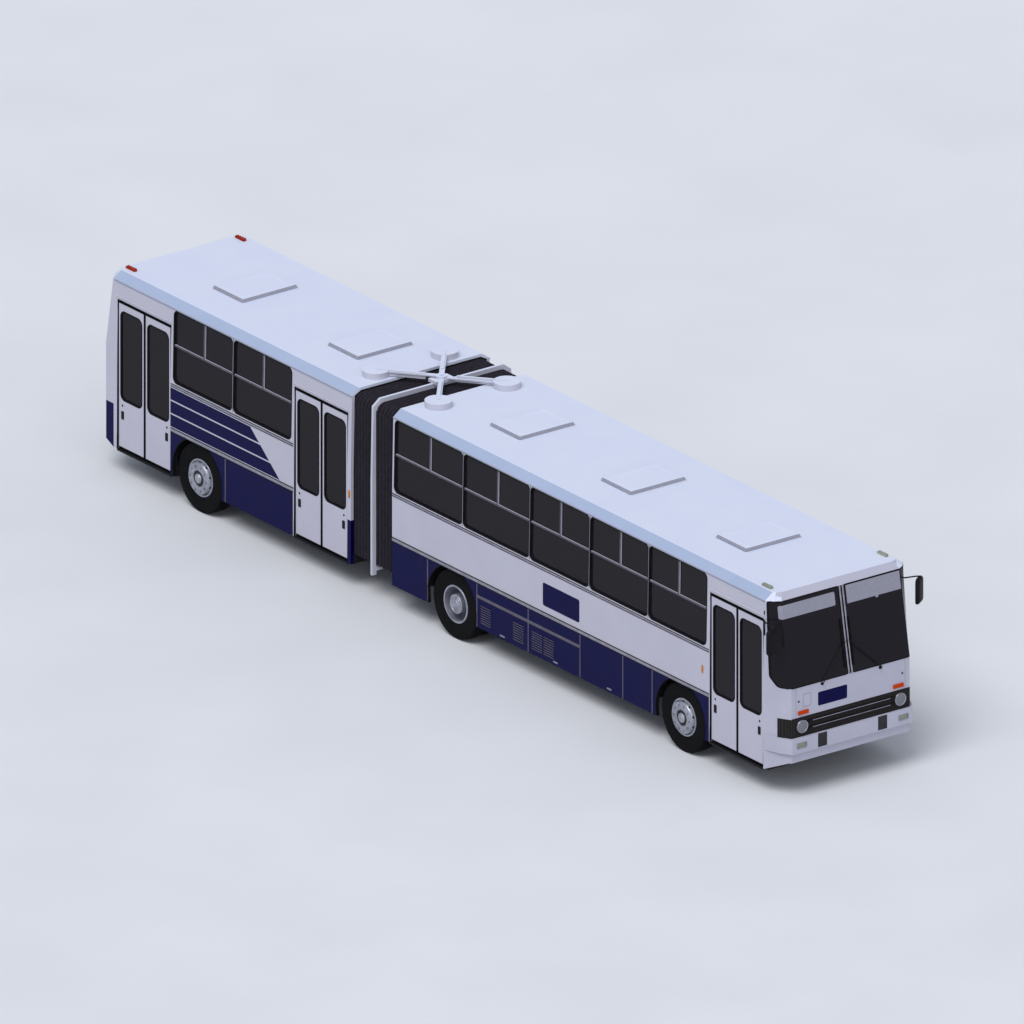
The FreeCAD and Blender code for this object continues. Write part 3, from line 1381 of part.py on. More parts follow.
# --------------------------------------------------------------------------------------
# Doors: each leaf hangs on an arm and its post and turns twice as far back
# --------------------------------------------------------------------------------------
def door_leaf(middle, hand):
    """Frame with a tall window, its pane, and a pin at top and bottom for the arms."""
    near = f"({middle}+({hand})*(door_half-door_half/2))"
    body = new_body()
    face = sketch_on(body, "XZ", "leaf_face-leaf_thick")
    rounded(face, f"{near}-leaf_half", f"{near}+leaf_half", "leaf_low", "leaf_top", "12")
    pad(body, face, "leaf_thick")
    hole = sketch_on(body, "XZ")
    rounded(hole, f"{near}-leaf_window_half", f"{near}+leaf_window_half", "leaf_window_low", "leaf_window_top",
            "window_round")
    pocket(body, hole)
    lugs = []
    pin_y = "-leaf_face+leaf_thick/2+leaf_offset"
    for low, high, pin_low, pin_high in (
        ("leaf_low", "leaf_low+40", "door_low+arm_lift", "leaf_low+40"),
        ("leaf_top-40", "leaf_top", "leaf_top-40", "door_top-arm_lift"),
    ):
        lugs.append(box(f"{near}-30", f"{near}+30", "-leaf_face+leaf_thick-2", f"{pin_y}+20", low, high))
        lugs.append(rod("Z", near, pin_y, pin_low, "pin_radius", f"({pin_high})-({pin_low})"))
    pane = new_body()
    pane_face = sketch_on(pane, "XZ", "leaf_face-leaf_thick/2-glass_thick/2")
    rounded(pane_face, f"{near}-leaf_window_half+fit_gap", f"{near}+leaf_window_half-fit_gap",
            "leaf_window_low+fit_gap", "leaf_window_top-fit_gap", "window_round-fit_gap")
    pad(pane, pane_face, "glass_thick")
    return group([fuse([body] + lugs), pane])


def door_arms(middle, hand):
    """An arm under the leaf and one over it, each on its own stub post by the doorway's edge,
    so that the leaf swings through between the two."""
    post_x = f"({middle}+({hand})*(door_half-post_inset))"
    near = f"({middle}+({hand})*(door_half-door_half/2))"
    pin_y = "(-leaf_face+leaf_thick/2+leaf_offset)"
    low_x, high_x = (near, post_x) if hand > 0 else (post_x, near)
    lower, upper = "(door_low+arm_lift)", "(door_top-arm_lift-arm_thick)"
    arms = []
    for level, foot in ((lower, "(door_low+fit_gap)"), (upper, upper)):
        plate = fuse([
            rod("Z", post_x, pin_y, foot, "post_radius", "arm_thick+arm_lift-fit_gap"),
            box(low_x, high_x, f"{pin_y}-arm_half", f"{pin_y}+arm_half", level, f"{level}+arm_thick"),
            rod("Z", near, pin_y, level, "arm_eye", "arm_thick"),
        ])
        hole = rod("Z", near, pin_y, f"{level}-5", "pin_radius+fit_gap", "arm_thick+10")
        arms.append(cut(plate, [hole]))
    return group(arms)


for name, section, middle in DOORS:
    for place, hand in (("fore", 1), ("aft", -1)):
        node(f"{name}_door_{place}_leaf", door_leaf(middle, hand))
        node(f"{name}_door_{place}_arm", door_arms(middle, hand))


# --------------------------------------------------------------------------------------
# Seats, driver's place, tail lamps
# --------------------------------------------------------------------------------------
def seat(front, side, base):
    """A double seat shell in profile, on a pedestal."""
    low_y, high_y = (f"-({LINING})+10", f"-({LINING})+10+seat_wide") if side < 0 else (
        f"{LINING}-10-seat_wide", f"{LINING}-10")
    shell = along_y(low_y, high_y, [
        (front, "seat_high"),
        (f"{front}-cushion_deep", "seat_high-cushion_drop"),
        (f"{front}-cushion_deep-back_lean", "seat_high+back_high"),
        (f"{front}-cushion_deep-back_lean-back_thick", "seat_high+back_high"),
        (f"{front}-cushion_deep-back_foot", "seat_high-cushion_thick-15"),
        (front, "seat_high-cushion_thick"),
    ])
    leg = box(f"{front}-leg_inset-leg_long", f"{front}-leg_inset", f"({low_y})+leg_side",
              f"({low_y})+leg_side+leg_long", base, "seat_high-cushion_thick+5")
    return fuse([shell, leg])


def seats(section):
    return [seat(front, side, base) for where, front, side, base in SEATS if where == section]


def driver_place():
    """Driver's seat, steering wheel on its column, dashboard and the partition behind."""
    near, far, back = "driver_y-250", "driver_y+250", "(mask_side-driver_back)"
    shell = along_y(near, far, [
        (f"{back}+570", "seat_high+40"), (f"{back}+110", "seat_high+20"), (back, "seat_high+700"),
        (f"{back}-60", "seat_high+700"), (f"{back}+40", "seat_high-60"), (f"{back}+570", "seat_high-40"),
    ])
    leg = box(f"{back}+210", f"{back}+430", "driver_y-100", "driver_y+100", "floor_high", "seat_high-45")
    column = along_y("driver_y-20", "driver_y+20", [
        (f"{back}+1230", "floor_high+200"), (f"{back}+1270", "floor_high+230"),
        (f"{back}+1000", "seat_high+260"), (f"{back}+960", "seat_high+240"),
    ])
    wheel = cut(
        along_y(near, far, [
            (f"{back}+850", "seat_high+190"), (f"{back}+1110", "seat_high+290"),
            (f"{back}+1100", "seat_high+318"), (f"{back}+840", "seat_high+218"),
        ]),
        [along_y(f"{near}+40", f"{far}-40", [
            (f"{back}+875", "seat_high+150"), (f"{back}+1085", "seat_high+240"),
            (f"{back}+1060", "seat_high+400"), (f"{back}+850", "seat_high+300"),
        ])],
    )
    spoke = along_y(f"{near}+40", f"{far}-40", [
        (f"{back}+960", "seat_high+232"), (f"{back}+1000", "seat_high+247"),
        (f"{back}+992", "seat_high+275"), (f"{back}+952", "seat_high+260"),
    ])
    dash = along_y("driver_y-500", "driver_y+300", [
        ("mask_side-300", "floor_high"), ("mask_corner-56", "floor_high"), ("mask_corner+24", "floor_high+600"),
        ("mask_corner-56", "screen_low-20"), ("mask_side-300", "screen_low-120"),
    ])
    partition = box(f"{back}-130", f"{back}-100", "housing_inner_y+20", "half_width-75", "housing_high", 2350)
    return [fuse([shell, leg]), fuse([column, wheel, spoke, dash]), partition]


node("front_seats", group(seats("front") + driver_place()))
node("rear_seats", group(seats("rear")))


def rear_lamps():
    """Tail lamps low on both corners and markers on the roof edge."""
    pieces = []
    for side in (-1, 1):
        middle = f"{side}*(half_width-tail_lamp_inset)"
        pieces.append(box("-half_length", "tail_x-fit_gap", f"{middle}-tail_lamp_wide/2", f"{middle}+tail_lamp_wide/2",
                          "tail_lamp_low", "tail_lamp_high"))
        pieces.append(roof_marker("tail_side+70", side, "(half_width-279)"))
    return group(pieces)


node("rear_lamps", rear_lamps())

# --------------------------------------------------------------------------------------
# Build, check and write
# --------------------------------------------------------------------------------------
DOC.recompute()
for thing in DOC.Objects:
    state = " ".join(thing.State)
    if "Invalid" in state or "Error" in state:
        raise SystemExit(f"{thing.Name} failed: {state}")
os.makedirs("parts", exist_ok=True)
for thing in NODES:
    if thing.Shape.isNull() or not thing.Shape.isValid():
        raise SystemExit(f"{thing.Label} has no valid shape")
    thing.Shape.exportStep(f"parts/{thing.Label}.step")
    print(thing.Label, len(thing.Shape.Solids), round(thing.Shape.Volume / 1e6, 3))
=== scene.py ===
# %% [markdown]
# # Dressing an articulated city bus
#
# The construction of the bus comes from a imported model: its pieces, joints and sizes are
# fixed.  This lesson gives each piece its surface and adds what is too small or too soft for
# the construction: rubber seals, trim strips, panels, lamps, wheels with tread, the pleated
# bellows and the handrails inside.  All lengths are metres, +X is forward, +Y is the left
# side of the bus and +Z is up.

import bmesh
import bpy
import math
import numpy as np
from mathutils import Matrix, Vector


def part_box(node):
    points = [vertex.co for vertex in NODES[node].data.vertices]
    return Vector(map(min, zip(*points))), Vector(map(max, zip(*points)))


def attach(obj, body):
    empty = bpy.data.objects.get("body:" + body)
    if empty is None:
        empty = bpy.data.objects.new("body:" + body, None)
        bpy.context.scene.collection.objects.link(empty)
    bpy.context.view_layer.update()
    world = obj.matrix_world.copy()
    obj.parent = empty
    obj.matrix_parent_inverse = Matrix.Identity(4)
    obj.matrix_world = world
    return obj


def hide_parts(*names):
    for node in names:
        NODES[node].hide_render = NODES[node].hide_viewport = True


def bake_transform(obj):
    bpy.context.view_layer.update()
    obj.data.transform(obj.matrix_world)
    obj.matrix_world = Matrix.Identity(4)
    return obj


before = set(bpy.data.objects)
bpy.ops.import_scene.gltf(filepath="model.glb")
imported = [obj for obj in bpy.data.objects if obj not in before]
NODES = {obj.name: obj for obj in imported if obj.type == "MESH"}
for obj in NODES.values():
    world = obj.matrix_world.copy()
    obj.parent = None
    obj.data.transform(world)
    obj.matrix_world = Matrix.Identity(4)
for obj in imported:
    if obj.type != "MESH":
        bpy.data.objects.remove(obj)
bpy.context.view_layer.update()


def low(node):
    """Lowest corner of a construction piece."""
    return np.array(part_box(node)[0])


def high(node):
    """Highest corner of a construction piece."""
    return np.array(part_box(node)[1])


# %% [markdown]
# ## Camera
#
# A parallel camera keeps every length along the bus at one scale, as on a technical drawing.
# The direction is given by two angles, and the scale by how many metres the frame is wide.

# %% Camera
AZIMUTH = math.radians(-36.87)
ELEVATION = math.radians(21.80)
FRAME_WIDTH = 14.7977
DISTANCE = 60.0
CLIP_END = 400.0
TARGET = Vector((0.047, 0.0, 1.604))


def add_camera():
    """Camera at target + distance * direction, looking back along that direction."""
    away = Vector((
        math.cos(ELEVATION) * math.cos(AZIMUTH),
        math.cos(ELEVATION) * math.sin(AZIMUTH),
        math.sin(ELEVATION),
    ))
    camera = bpy.data.objects.new("camera", bpy.data.cameras.new("camera"))
    camera.data.type = "ORTHO"
    camera.data.ortho_scale = FRAME_WIDTH
    camera.location = TARGET + away * DISTANCE
    camera.rotation_euler = away.to_track_quat("Z", "Y").to_euler()
    camera.data.clip_end = CLIP_END
    bpy.context.scene.collection.objects.link(camera)
    bpy.context.scene.camera = camera
    return camera


camera = add_camera()
print("camera stands", round(camera.location.length), "m away")

# %% [markdown]
# ## Colour and nodes
#
# Paint colours are chosen as sRGB hex values, as a paint chart gives them, and turned to
# linear light by one function.  One more function adds a shader node with its settings and
# its links, so that every material below reads as a short list.


# %% Colour and node helpers
def linear(code):
    """sRGB hex to linear RGBA: c / 12.92 below 0.04045, ((c + 0.055) / 1.055) ** 2.4 above."""
    values = np.array([int(code[i:i + 2], 16) / 255 for i in (1, 3, 5)])
    bent = np.where(values <= 0.04045, values / 12.92, ((values + 0.055) / 1.055) ** 2.4)
    return (*bent.tolist(), 1.0)


def add(tree, kind, links=None, **settings):
    """Add a node.  settings are its properties or unlinked sockets, links are socket: source."""
    node = tree.nodes.new("ShaderNode" + kind)
    for key, value in settings.items():
        name = key.replace("_", " ")
        if hasattr(node, key):
            setattr(node, key, value)
        elif key.startswith("in") and key[2:].isdigit():
            node.inputs[int(key[2:])].default_value = value
        else:
            socket = next(s for s in node.inputs if s.name.lower() == name.lower())
            socket.default_value = value
    for key, source in (links or {}).items():
        socket = node.inputs[key]
        output = source if isinstance(source, bpy.types.NodeSocket) else source.outputs[0]
        tree.links.new(output, socket)
    return node


def new_material(name, **settings):
    """A material with one Principled shader; returns material, node tree and shader."""
    material = bpy.data.materials.new(name)
    material.use_nodes = True
    tree = material.node_tree
    tree.nodes.clear()
    shader = add(tree, "BsdfPrincipled", **settings)
    add(tree, "OutputMaterial", links={"Surface": shader})
    return material, tree, shader


def grain(tree, size, detail=2.0, stretch=(1, 1, 1)):
    """Noise on object coordinates whose cells are about size metres wide."""
    place = add(tree, "TexCoord")
    scaled = add(tree, "Mapping", links={"Vector": place.outputs["Object"]})
    scaled.inputs["Scale"].default_value = stretch
    return add(tree, "TexNoise", links={"Vector": scaled.outputs[0]},
               Scale=1.0 / size, Detail=detail)


def bump(tree, shader, height, depth, distance):
    """Bump from a height socket: depth is its strength, distance its real height in metres."""
    relief = add(tree, "Bump", links={"Height": height}, Strength=depth, Distance=distance)
    tree.links.new(relief.outputs[0], shader.inputs["Normal"])
    return relief


def vary(tree, shader, noise, dark, light, socket="Base Color", span=(0.35, 0.65)):
    """Colour that drifts between two values with the noise."""
    ramp = add(tree, "ValToRGB", links={"Fac": noise.outputs["Fac"]})
    ramp.color_ramp.elements[0].position = span[0]
    ramp.color_ramp.elements[0].color = linear(dark)
    ramp.color_ramp.elements[1].position = span[1]
    ramp.color_ramp.elements[1].color = linear(light)
    tree.links.new(ramp.outputs["Color"], shader.inputs[socket])
    return ramp


def rough(tree, shader, noise, smooth, coarse):
    """Roughness that drifts between two values with the noise."""
    spread = add(tree, "MapRange", links={"Value": noise.outputs["Fac"]}, in3=smooth, in4=coarse)
    tree.links.new(spread.outputs[0], shader.inputs["Roughness"])


print("mid grey in linear light:", [round(value, 3) for value in linear("#808080")[:3]])

# %% [markdown]
# ## Finishes
#
# Coach enamel is sprayed and stoved: it is glossy under a thin clear layer, with a faint
# orange peel a few millimetres wide.  Road dust dulls it a little towards the skirt.

# %% Coach enamel
WALL_WHITES = ("#BDBBC8", "#BAB8C5")
NAVIES = ("#010140", "#01013A")
DUST, DUST_FULL, DUST_GONE = "#8A8479", 0.35, 0.95


def coach_enamel(name, pale, deep, roughness=0.32, dusty=True):
    """Sprayed enamel: slow colour drift of half a metre, orange peel of 6 mm, dust below."""
    material, tree, shader = new_material(name, Coat_Weight=0.03, Coat_Roughness=0.15, IOR=1.5,
                                          Specular_IOR_Level=0.08)
    drift = grain(tree, 0.55, 3.0)
    ramp = vary(tree, shader, drift, deep, pale)
    rough(tree, shader, grain(tree, 0.12, 4.0), roughness, roughness + 0.12)
    peel = grain(tree, 0.006, 1.0)
    bump(tree, shader, peel.outputs["Fac"], 0.12, 0.0004)
    if dusty:
        place = add(tree, "TexCoord")
        height = add(tree, "SeparateXYZ", links={"Vector": place.outputs["Object"]})
        fade = add(tree, "MapRange", links={"Value": height.outputs["Z"]},
                   in1=DUST_FULL, in2=DUST_GONE, in3=0.05, in4=0.0)
        patch = grain(tree, 0.09, 5.0)
        amount = add(tree, "Math", operation="MULTIPLY",
                     links={0: fade.outputs[0], 1: patch.outputs["Fac"]})
        mixed = add(tree, "Mix", data_type="RGBA", links={"Factor": amount.outputs[0]})
        tree.links.new(ramp.outputs["Color"], mixed.inputs[6])
        mixed.inputs[7].default_value = linear(DUST)
        tree.links.new(mixed.outputs[2], shader.inputs["Base Color"])
    return material


SIDE_WHITE = coach_enamel("coach_enamel_side_white", *WALL_WHITES)
# The front's copy of the white is darker than the side's: painted shade on the faces that look
# forwards.
FRONT_WHITE_PAINTED_SHADE = coach_enamel("coach_enamel_front_white", "#B4B3C2", "#B0AFBE")
# The roof's copy of the white is lighter and bluer than the side's: painted light on the faces that
# look up.
ROOF_WHITE_PAINTED_LIGHT = coach_enamel("coach_enamel_roof_white", "#D3D8E8", "#D1D6E7", 0.42, False)
NAVY = coach_enamel("coach_enamel_navy", *NAVIES, 0.4)
LINE_WHITE = coach_enamel("coach_enamel_line_white", "#C4C4D0", "#BFBFCC", 0.3, False)
print("enamels:", len(bpy.data.materials))

# %% [markdown]
# Rubber is moulded and matt.  Its bloom makes it slightly grey and uneven, so the colour
# drifts over a few centimetres and a fine grain breaks the highlights.

# %% Rubber, plastics and metals
def rubber(name, pale, deep, roughness=0.72, cell=0.004):
    """Moulded rubber: patchy bloom of 40 mm and a grain of a few millimetres."""
    material, tree, shader = new_material(name, IOR=1.5, Specular_IOR_Level=0.1)
    vary(tree, shader, grain(tree, 0.04, 4.0), deep, pale, span=(0.3, 0.7))
    rough(tree, shader, grain(tree, 0.03, 3.0), roughness - 0.1, roughness + 0.08)
    bump(tree, shader, grain(tree, cell, 3.0).outputs["Fac"], 0.35, 0.0006)
    return material


def metal(name, pale, deep, roughness, stretch=(1, 1, 1), cell=0.01, metallic=1.0):
    """Metal whose rolling or brushing marks are noise stretched along one axis."""
    material, tree, shader = new_material(name, Metallic=metallic)
    vary(tree, shader, grain(tree, 0.12, 3.0), deep, pale)
    rough(tree, shader, grain(tree, 0.05, 4.0, stretch), roughness - 0.06, roughness + 0.08)
    bump(tree, shader, grain(tree, cell, 2.0, stretch).outputs["Fac"], 0.15, 0.0003)
    return material


TYRE = rubber("tyre_rubber", "#121214", "#0D0D0F", 0.85, 0.006)
SEAL = rubber("seal_rubber_epdm", "#151417", "#0E0D10", 0.7)
BELLOWS = rubber("coated_bellows_fabric", "#2E2A32", "#221F26", 0.66, 0.005)
FLOORING = rubber("ribbed_floor_rubber", "#2A2A2E", "#1F1F23", 0.7, 0.008)
PLASTIC = rubber("moulded_abs_black", "#17161A", "#0F0E12", 0.5, 0.003)
GREY_PLASTIC = rubber("moulded_abs_grey", "#9A9AA6", "#8F8F9C", 0.45, 0.003)
CHASSIS = rubber("chassis_lacquer_black", "#1C1B1D", "#121113", 0.55, 0.01)
STEEL_CAST = metal("cast_steel_painted", "#2B2A2C", "#1D1C1E", 0.55, cell=0.006, metallic=0.35)
ALUMINIUM = metal("extruded_aluminium", "#A9A7B2", "#97959F", 0.34, (1, 30, 30), 0.004)
FRAME_GREY = metal("anodised_window_frame", "#625D69", "#56515D", 0.5, (1, 20, 20), 0.004, 0.3)
POST_GREY = metal("window_post_grey", "#8E8A97", "#827E8C", 0.5, (20, 20, 1), 0.004, 0.3)
WHEEL_SILVER = metal("sprayed_wheel_silver", "#A9ABB6", "#8E909B", 0.38, cell=0.003, metallic=0.55)
CHROME = metal("chromed_steel", "#C9CAD2", "#BDBEC8", 0.12, cell=0.02)
print("finishes:", len(bpy.data.materials))

# %% [markdown]
# Tinted safety glass lets a little of the dark cabin through.  The tint is a dark colour on
# a transmitting shader, and the gloss comes from its index of refraction, 1.5.

# %% Glass and lamp lenses
def safety_glass(name, tint, alpha):
    """Dark gloss over partial transparency, so that seats show faintly behind it."""
    material, tree, shader = new_material(name, IOR=1.45, Roughness=0.08, Alpha=alpha,
                                          Specular_IOR_Level=0.12)
    vary(tree, shader, grain(tree, 0.8, 2.0), tint, tint)
    bump(tree, shader, grain(tree, 0.35, 1.0).outputs["Fac"], 0.05, 0.001)
    return material


RIDGES_PER_METRE = 6.3  # of Blender's wave texture at a Scale of 1, about 20 / pi


def lens(name, pale, deep, across=0.006, roughness=0.18, alpha=1.0):
    """Moulded lens: upright flutes as a wave, each across wide, with painted shade in the hollows.
    """
    material, tree, shader = new_material(name, IOR=1.49, Roughness=roughness, Coat_Weight=0.03,
                                          Alpha=alpha, Specular_IOR_Level=0.08)
    place = add(tree, "TexCoord")
    flutes = add(tree, "TexWave", links={"Vector": place.outputs["Object"]}, bands_direction="Y",
                 Scale=1.0 / across / RIDGES_PER_METRE, Distortion=0.0)
    # Painted shade: the colour follows the flute wave and is deeper where the flutes dip.
    vary(tree, shader, flutes, deep, pale, span=(0.1, 0.9))
    bump(tree, shader, flutes.outputs["Fac"], 0.4, 0.001)
    return material


GLASS = safety_glass("tinted_safety_glass", "#1F1C21", 0.94)
AMBER = lens("amber_lens", "#CC4400", "#A83400")
ORANGE = lens("side_marker_lens", "#C4781C", "#9E5C10")
RED = lens("red_lens", "#B03002", "#8A1E01")
CLEAR = lens("clear_lens", "#A2A698", "#767A6C")
LAMP_GLASS = lens("headlamp_glass", "#A4A6A8", "#85878B", 0.008, 0.08, 0.30)


def seat_plastic():
    """Moulded seat shell with a fabric-like embossing of 5 mm."""
    material, tree, shader = new_material("moulded_seat_shell", IOR=1.48)
    vary(tree, shader, grain(tree, 0.2, 3.0), "#1F2B4A", "#28365A")
    rough(tree, shader, grain(tree, 0.05, 3.0), 0.45, 0.6)
    bump(tree, shader, grain(tree, 0.005, 1.0).outputs["Fac"], 0.3, 0.0005)
    return material


SEAT = seat_plastic()
RAIL_YELLOW = coach_enamel("handrail_powder_coat", "#C8901E", "#BC8416", 0.3, False)
print("materials with glass, lenses and seats:", len(bpy.data.materials))

# %% [markdown]
# ## Finishes on the construction
#
# Every construction piece already has its place, so it only changes its material.

# %% Assign finishes
FINISH = {
    SIDE_WHITE: ["front_left_wall", "front_right_wall", "rear_left_wall", "rear_right_wall",
                 "tail_panel"],
    # The mask and the bumper get the darker front white, as painted shade.
    FRONT_WHITE_PAINTED_SHADE: ["front_mask", "front_bumper"],
    # The roofs get the lighter roof white, as painted light.
    ROOF_WHITE_PAINTED_LIGHT: ["front_roof", "rear_roof"],
    GLASS: ["front_glass", "rear_glass"],
    CHASSIS: ["front_portal", "rear_portal", "front_chassis", "rear_chassis", "turntable_base",
              "turntable_plate"],
    STEEL_CAST: ["engine", "front_axle", "drive_axle", "rear_axle", "left_knuckle",
                 "right_knuckle"],
    PLASTIC: ["mirrors"],
    FLOORING: ["front_floor", "rear_floor"],
    SEAT: ["front_seats", "rear_seats"],
    LINE_WHITE: ["front_roof_link", "rear_roof_link", "hoop"],
    AMBER: ["front_lamps"],
    RED: ["rear_lamps"],
    BELLOWS: ["front_bellows", "rear_bellows"],
    TYRE: [node for node in NODES if "_tyre" in node],
    WHEEL_SILVER: [node for node in NODES if "_rim" in node],
}
FINISH[SIDE_WHITE] += [node for node in NODES if node.endswith("_leaf")]
FINISH[CHASSIS] += [node for node in NODES if node.endswith("_arm")]
for material, names in FINISH.items():
    for name in names:
        mesh = NODES[name].data
        mesh.materials.clear()
        mesh.materials.append(material)
print("finished nodes:", sum(len(names) for names in FINISH.values()))

# %% [markdown]
# ## Surface builders
#
# Every new piece is one or more grids of points.  A grid has two parameters: along a path and
# round a profile, or across and up a panel.  One function joins the grid's points by quads,
# and one more turns such shapes into an object that rides a body.

# %% Grids and pieces
def sheet(points, wrap=(False, True), caps=True):
    """Vertices and faces of a grid (rows, columns, 3): vertex r * columns + c, a quad to its
    neighbours at r + 1 and c + 1, and a polygon over the first and the last row."""
    rows, columns = points.shape[:2]
    row = np.arange(rows if wrap[0] else rows - 1)
    column = np.arange(columns if wrap[1] else columns - 1)
    i, j = np.meshgrid(row, column, indexing="ij")
    here, beyond = i * columns, ((i + 1) % rows) * columns
    following = (j + 1) % columns
    quads = np.stack([here + j, here + following, beyond + following, beyond + j], axis=-1)
    faces = quads.reshape(-1, 4).tolist()
    if caps and not wrap[0]:
        faces.append(list(range(columns)))
        faces.append(list(range((rows - 1) * columns, rows * columns)))
    return points.reshape(-1, 3), faces


def piece(name, shapes, material, body, crease=35):
    """One object from several shapes: points merged, normals outwards, edges sharper than
    crease degrees kept sharp."""
    shapes = shapes if isinstance(shapes, list) else [shapes]
    vertices = np.concatenate([shape[0] for shape in shapes])
    faces = []
    first = 0
    for points, shape_faces in shapes:
        faces += [[first + index for index in face] for face in shape_faces]
        first += len(points)
    mesh = bpy.data.meshes.new(name)
    mesh.from_pydata(vertices.tolist(), [], faces)
    shell = bmesh.new()
    shell.from_mesh(mesh)
    bmesh.ops.remove_doubles(shell, verts=shell.verts, dist=1e-6)
    bmesh.ops.dissolve_degenerate(shell, edges=shell.edges, dist=1e-6)
    bmesh.ops.recalc_face_normals(shell, faces=shell.faces)
    shell.to_mesh(mesh)
    shell.free()
    mesh.shade_smooth()
    mesh.set_sharp_from_angle(angle=math.radians(crease))
    mesh.materials.append(material)
    made = bpy.data.objects.new(name, mesh)
    bpy.context.scene.collection.objects.link(made)
    if body:
        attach(made, body)
    return made


print("a grid of 3 by 4 points has", len(sheet(np.zeros((3, 4, 3)))[1]), "faces with its caps")

# %% [markdown]
# Panels, lamps and windows start as flat outlines.  A stamped or moulded corner is never
# sharp, so each outline is rounded, and one function moves it inwards for bevels and rims.


# %% Outlines
def rectangle(width, height, radius, steps=5):
    """Round-cornered rectangle, anticlockwise: corner centre + radius * (cos a, sin a)."""
    quarter = np.linspace(0, math.pi / 2, steps + 1)
    corners = []
    for turn, (sx, sy) in enumerate(((1, 1), (-1, 1), (-1, -1), (1, -1))):
        angle = quarter + turn * math.pi / 2
        centre = np.array([sx * (width / 2 - radius), sy * (height / 2 - radius)])
        corners.append(centre + radius * np.stack([np.cos(angle), np.sin(angle)], axis=1))
    return np.concatenate(corners)


def softened(corners, radius, steps=5):
    """Polygon with each corner C rounded: (1 - t) ** 2 * A + 2 * t * (1 - t) * C + t ** 2 * B,
    where A and B lie one radius away on the two edges."""
    corners = np.array(corners, dtype=float)
    t = np.linspace(0, 1, steps + 1)[:, None]
    rounded = []
    for before, corner, after in zip(np.roll(corners, 1, 0), corners, np.roll(corners, -1, 0)):
        a = corner + radius * (before - corner) / np.linalg.norm(before - corner)
        b = corner + radius * (after - corner) / np.linalg.norm(after - corner)
        rounded.append((1 - t) ** 2 * a + 2 * t * (1 - t) * corner + t ** 2 * b)
    return np.concatenate(rounded)


def divided(outline, longest):
    """Closed outline with extra points, so that no edge is longer than the given length."""
    following = np.roll(outline, -1, 0)
    lengths = np.linalg.norm(following - outline, axis=1)
    counts = np.maximum(1, np.ceil(lengths / longest)).astype(int)
    start, end = np.repeat(outline, counts, axis=0), np.repeat(following, counts, axis=0)
    count = np.repeat(counts, counts)
    share = (np.arange(len(count)) - np.repeat(np.cumsum(counts) - counts, counts)) / count
    return start + share[:, None] * (end - start)


def inset(outline, depth):
    """Outline moved inwards: at each corner by depth * (n1 + n2) / (1 + n1 . n2), where n1 and
    n2 are the inward normals of the two edges that meet there."""
    edge = np.roll(outline, -1, 0) - outline
    edge = edge / np.maximum(np.linalg.norm(edge, axis=1, keepdims=True), 1e-9)
    normal = np.stack([-edge[:, 1], edge[:, 0]], axis=1)
    before = np.roll(normal, 1, 0)
    return outline + depth * (normal + before) / (1 + (normal * before).sum(axis=1, keepdims=True))


print("a round-cornered rectangle has", len(rectangle(1.0, 1.0, 0.1)), "points")

# %% [markdown]
# A plate, a moulding and a strip are the same on a wall, the curved front, a door or the roof.
# They get a place function, which turns flat coordinates and a height above the skin into
# space, so the shape is drawn flat and follows whatever it lies on.


# %% Plates, mouldings and strips
def raised(place, centre, rows):
    """Grid whose rows are flat outlines about a centre, each at its height above the skin."""
    return np.stack([
        place(centre[0] + flat[:, 0], centre[1] + flat[:, 1], np.full(len(flat), out))
        for flat, out in rows
    ])


def plate(place, centre, outline, low, high, edge):
    """Plate with a bevelled rim: outline at low, at high - edge, and inset by edge at high."""
    rows = [(outline, low), (outline, high - edge), (inset(outline, edge), high)]
    return sheet(raised(place, centre, rows))


def moulding(place, centre, outline, section):
    """Closed moulding round an opening; section lists (inwards, outwards) offsets."""
    rows = [(inset(outline, inwards), out) for inwards, out in section]
    return sheet(raised(place, centre, rows), wrap=(True, True), caps=False)


def bar(place, start, end, section, steps=1):
    """Straight strip between two flat points; section lists (across, outwards) offsets."""
    start, end = np.array(start, dtype=float), np.array(end, dtype=float)
    along = (end - start) / np.linalg.norm(end - start)
    side = np.array([-along[1], along[0]])
    section = np.array(section)
    t = np.linspace(0, 1, steps + 1)[:, None, None]
    flat = start + t * (end - start) + section[None, :, :1] * side
    out = np.broadcast_to(section[None, :, 1], flat.shape[:2])
    return sheet(place(flat[..., 0], flat[..., 1], out))


def hump(width, low, high, steps=6):
    """Section of a strip with a round back: across = width / 2 * cos a, out = low + (high -
    low) * (sin a) ** 0.6, which is fuller than a half circle."""
    angle = np.linspace(0, math.pi, steps + 1)
    back = low + (high - low) * np.sin(angle) ** 0.6
    return np.stack([width / 2 * np.cos(angle), back], axis=1)


print("a strip's section has", len(hump(0.02, 0.0, 0.01)), "points")

# %% [markdown]
# Arms and handrails are bent tubes, and wheels, lamps and locks are turned.  A tube is a ring
# carried along a curve, and a turned piece is a profile carried round an axis.


# %% Tubes and turned shapes
def tube(path, radius, sides=10):
    """Round bar: path + radius * (cos a * n + sin a * b), n and b square to the path."""
    path = np.array(path, dtype=float)
    tangent = np.gradient(path, axis=0)
    tangent = tangent / np.linalg.norm(tangent, axis=1, keepdims=True)
    spread = np.abs(tangent).max(axis=0)
    guide = np.eye(3)[np.argmin(spread)]
    normal = np.cross(tangent, guide)
    normal = normal / np.linalg.norm(normal, axis=1, keepdims=True)
    other = np.cross(tangent, normal)
    angle = np.linspace(0, 2 * math.pi, sides, endpoint=False)
    ring = np.cos(angle)[:, None] * normal[:, None] + np.sin(angle)[:, None] * other[:, None]
    return sheet(path[:, None] + radius * ring)


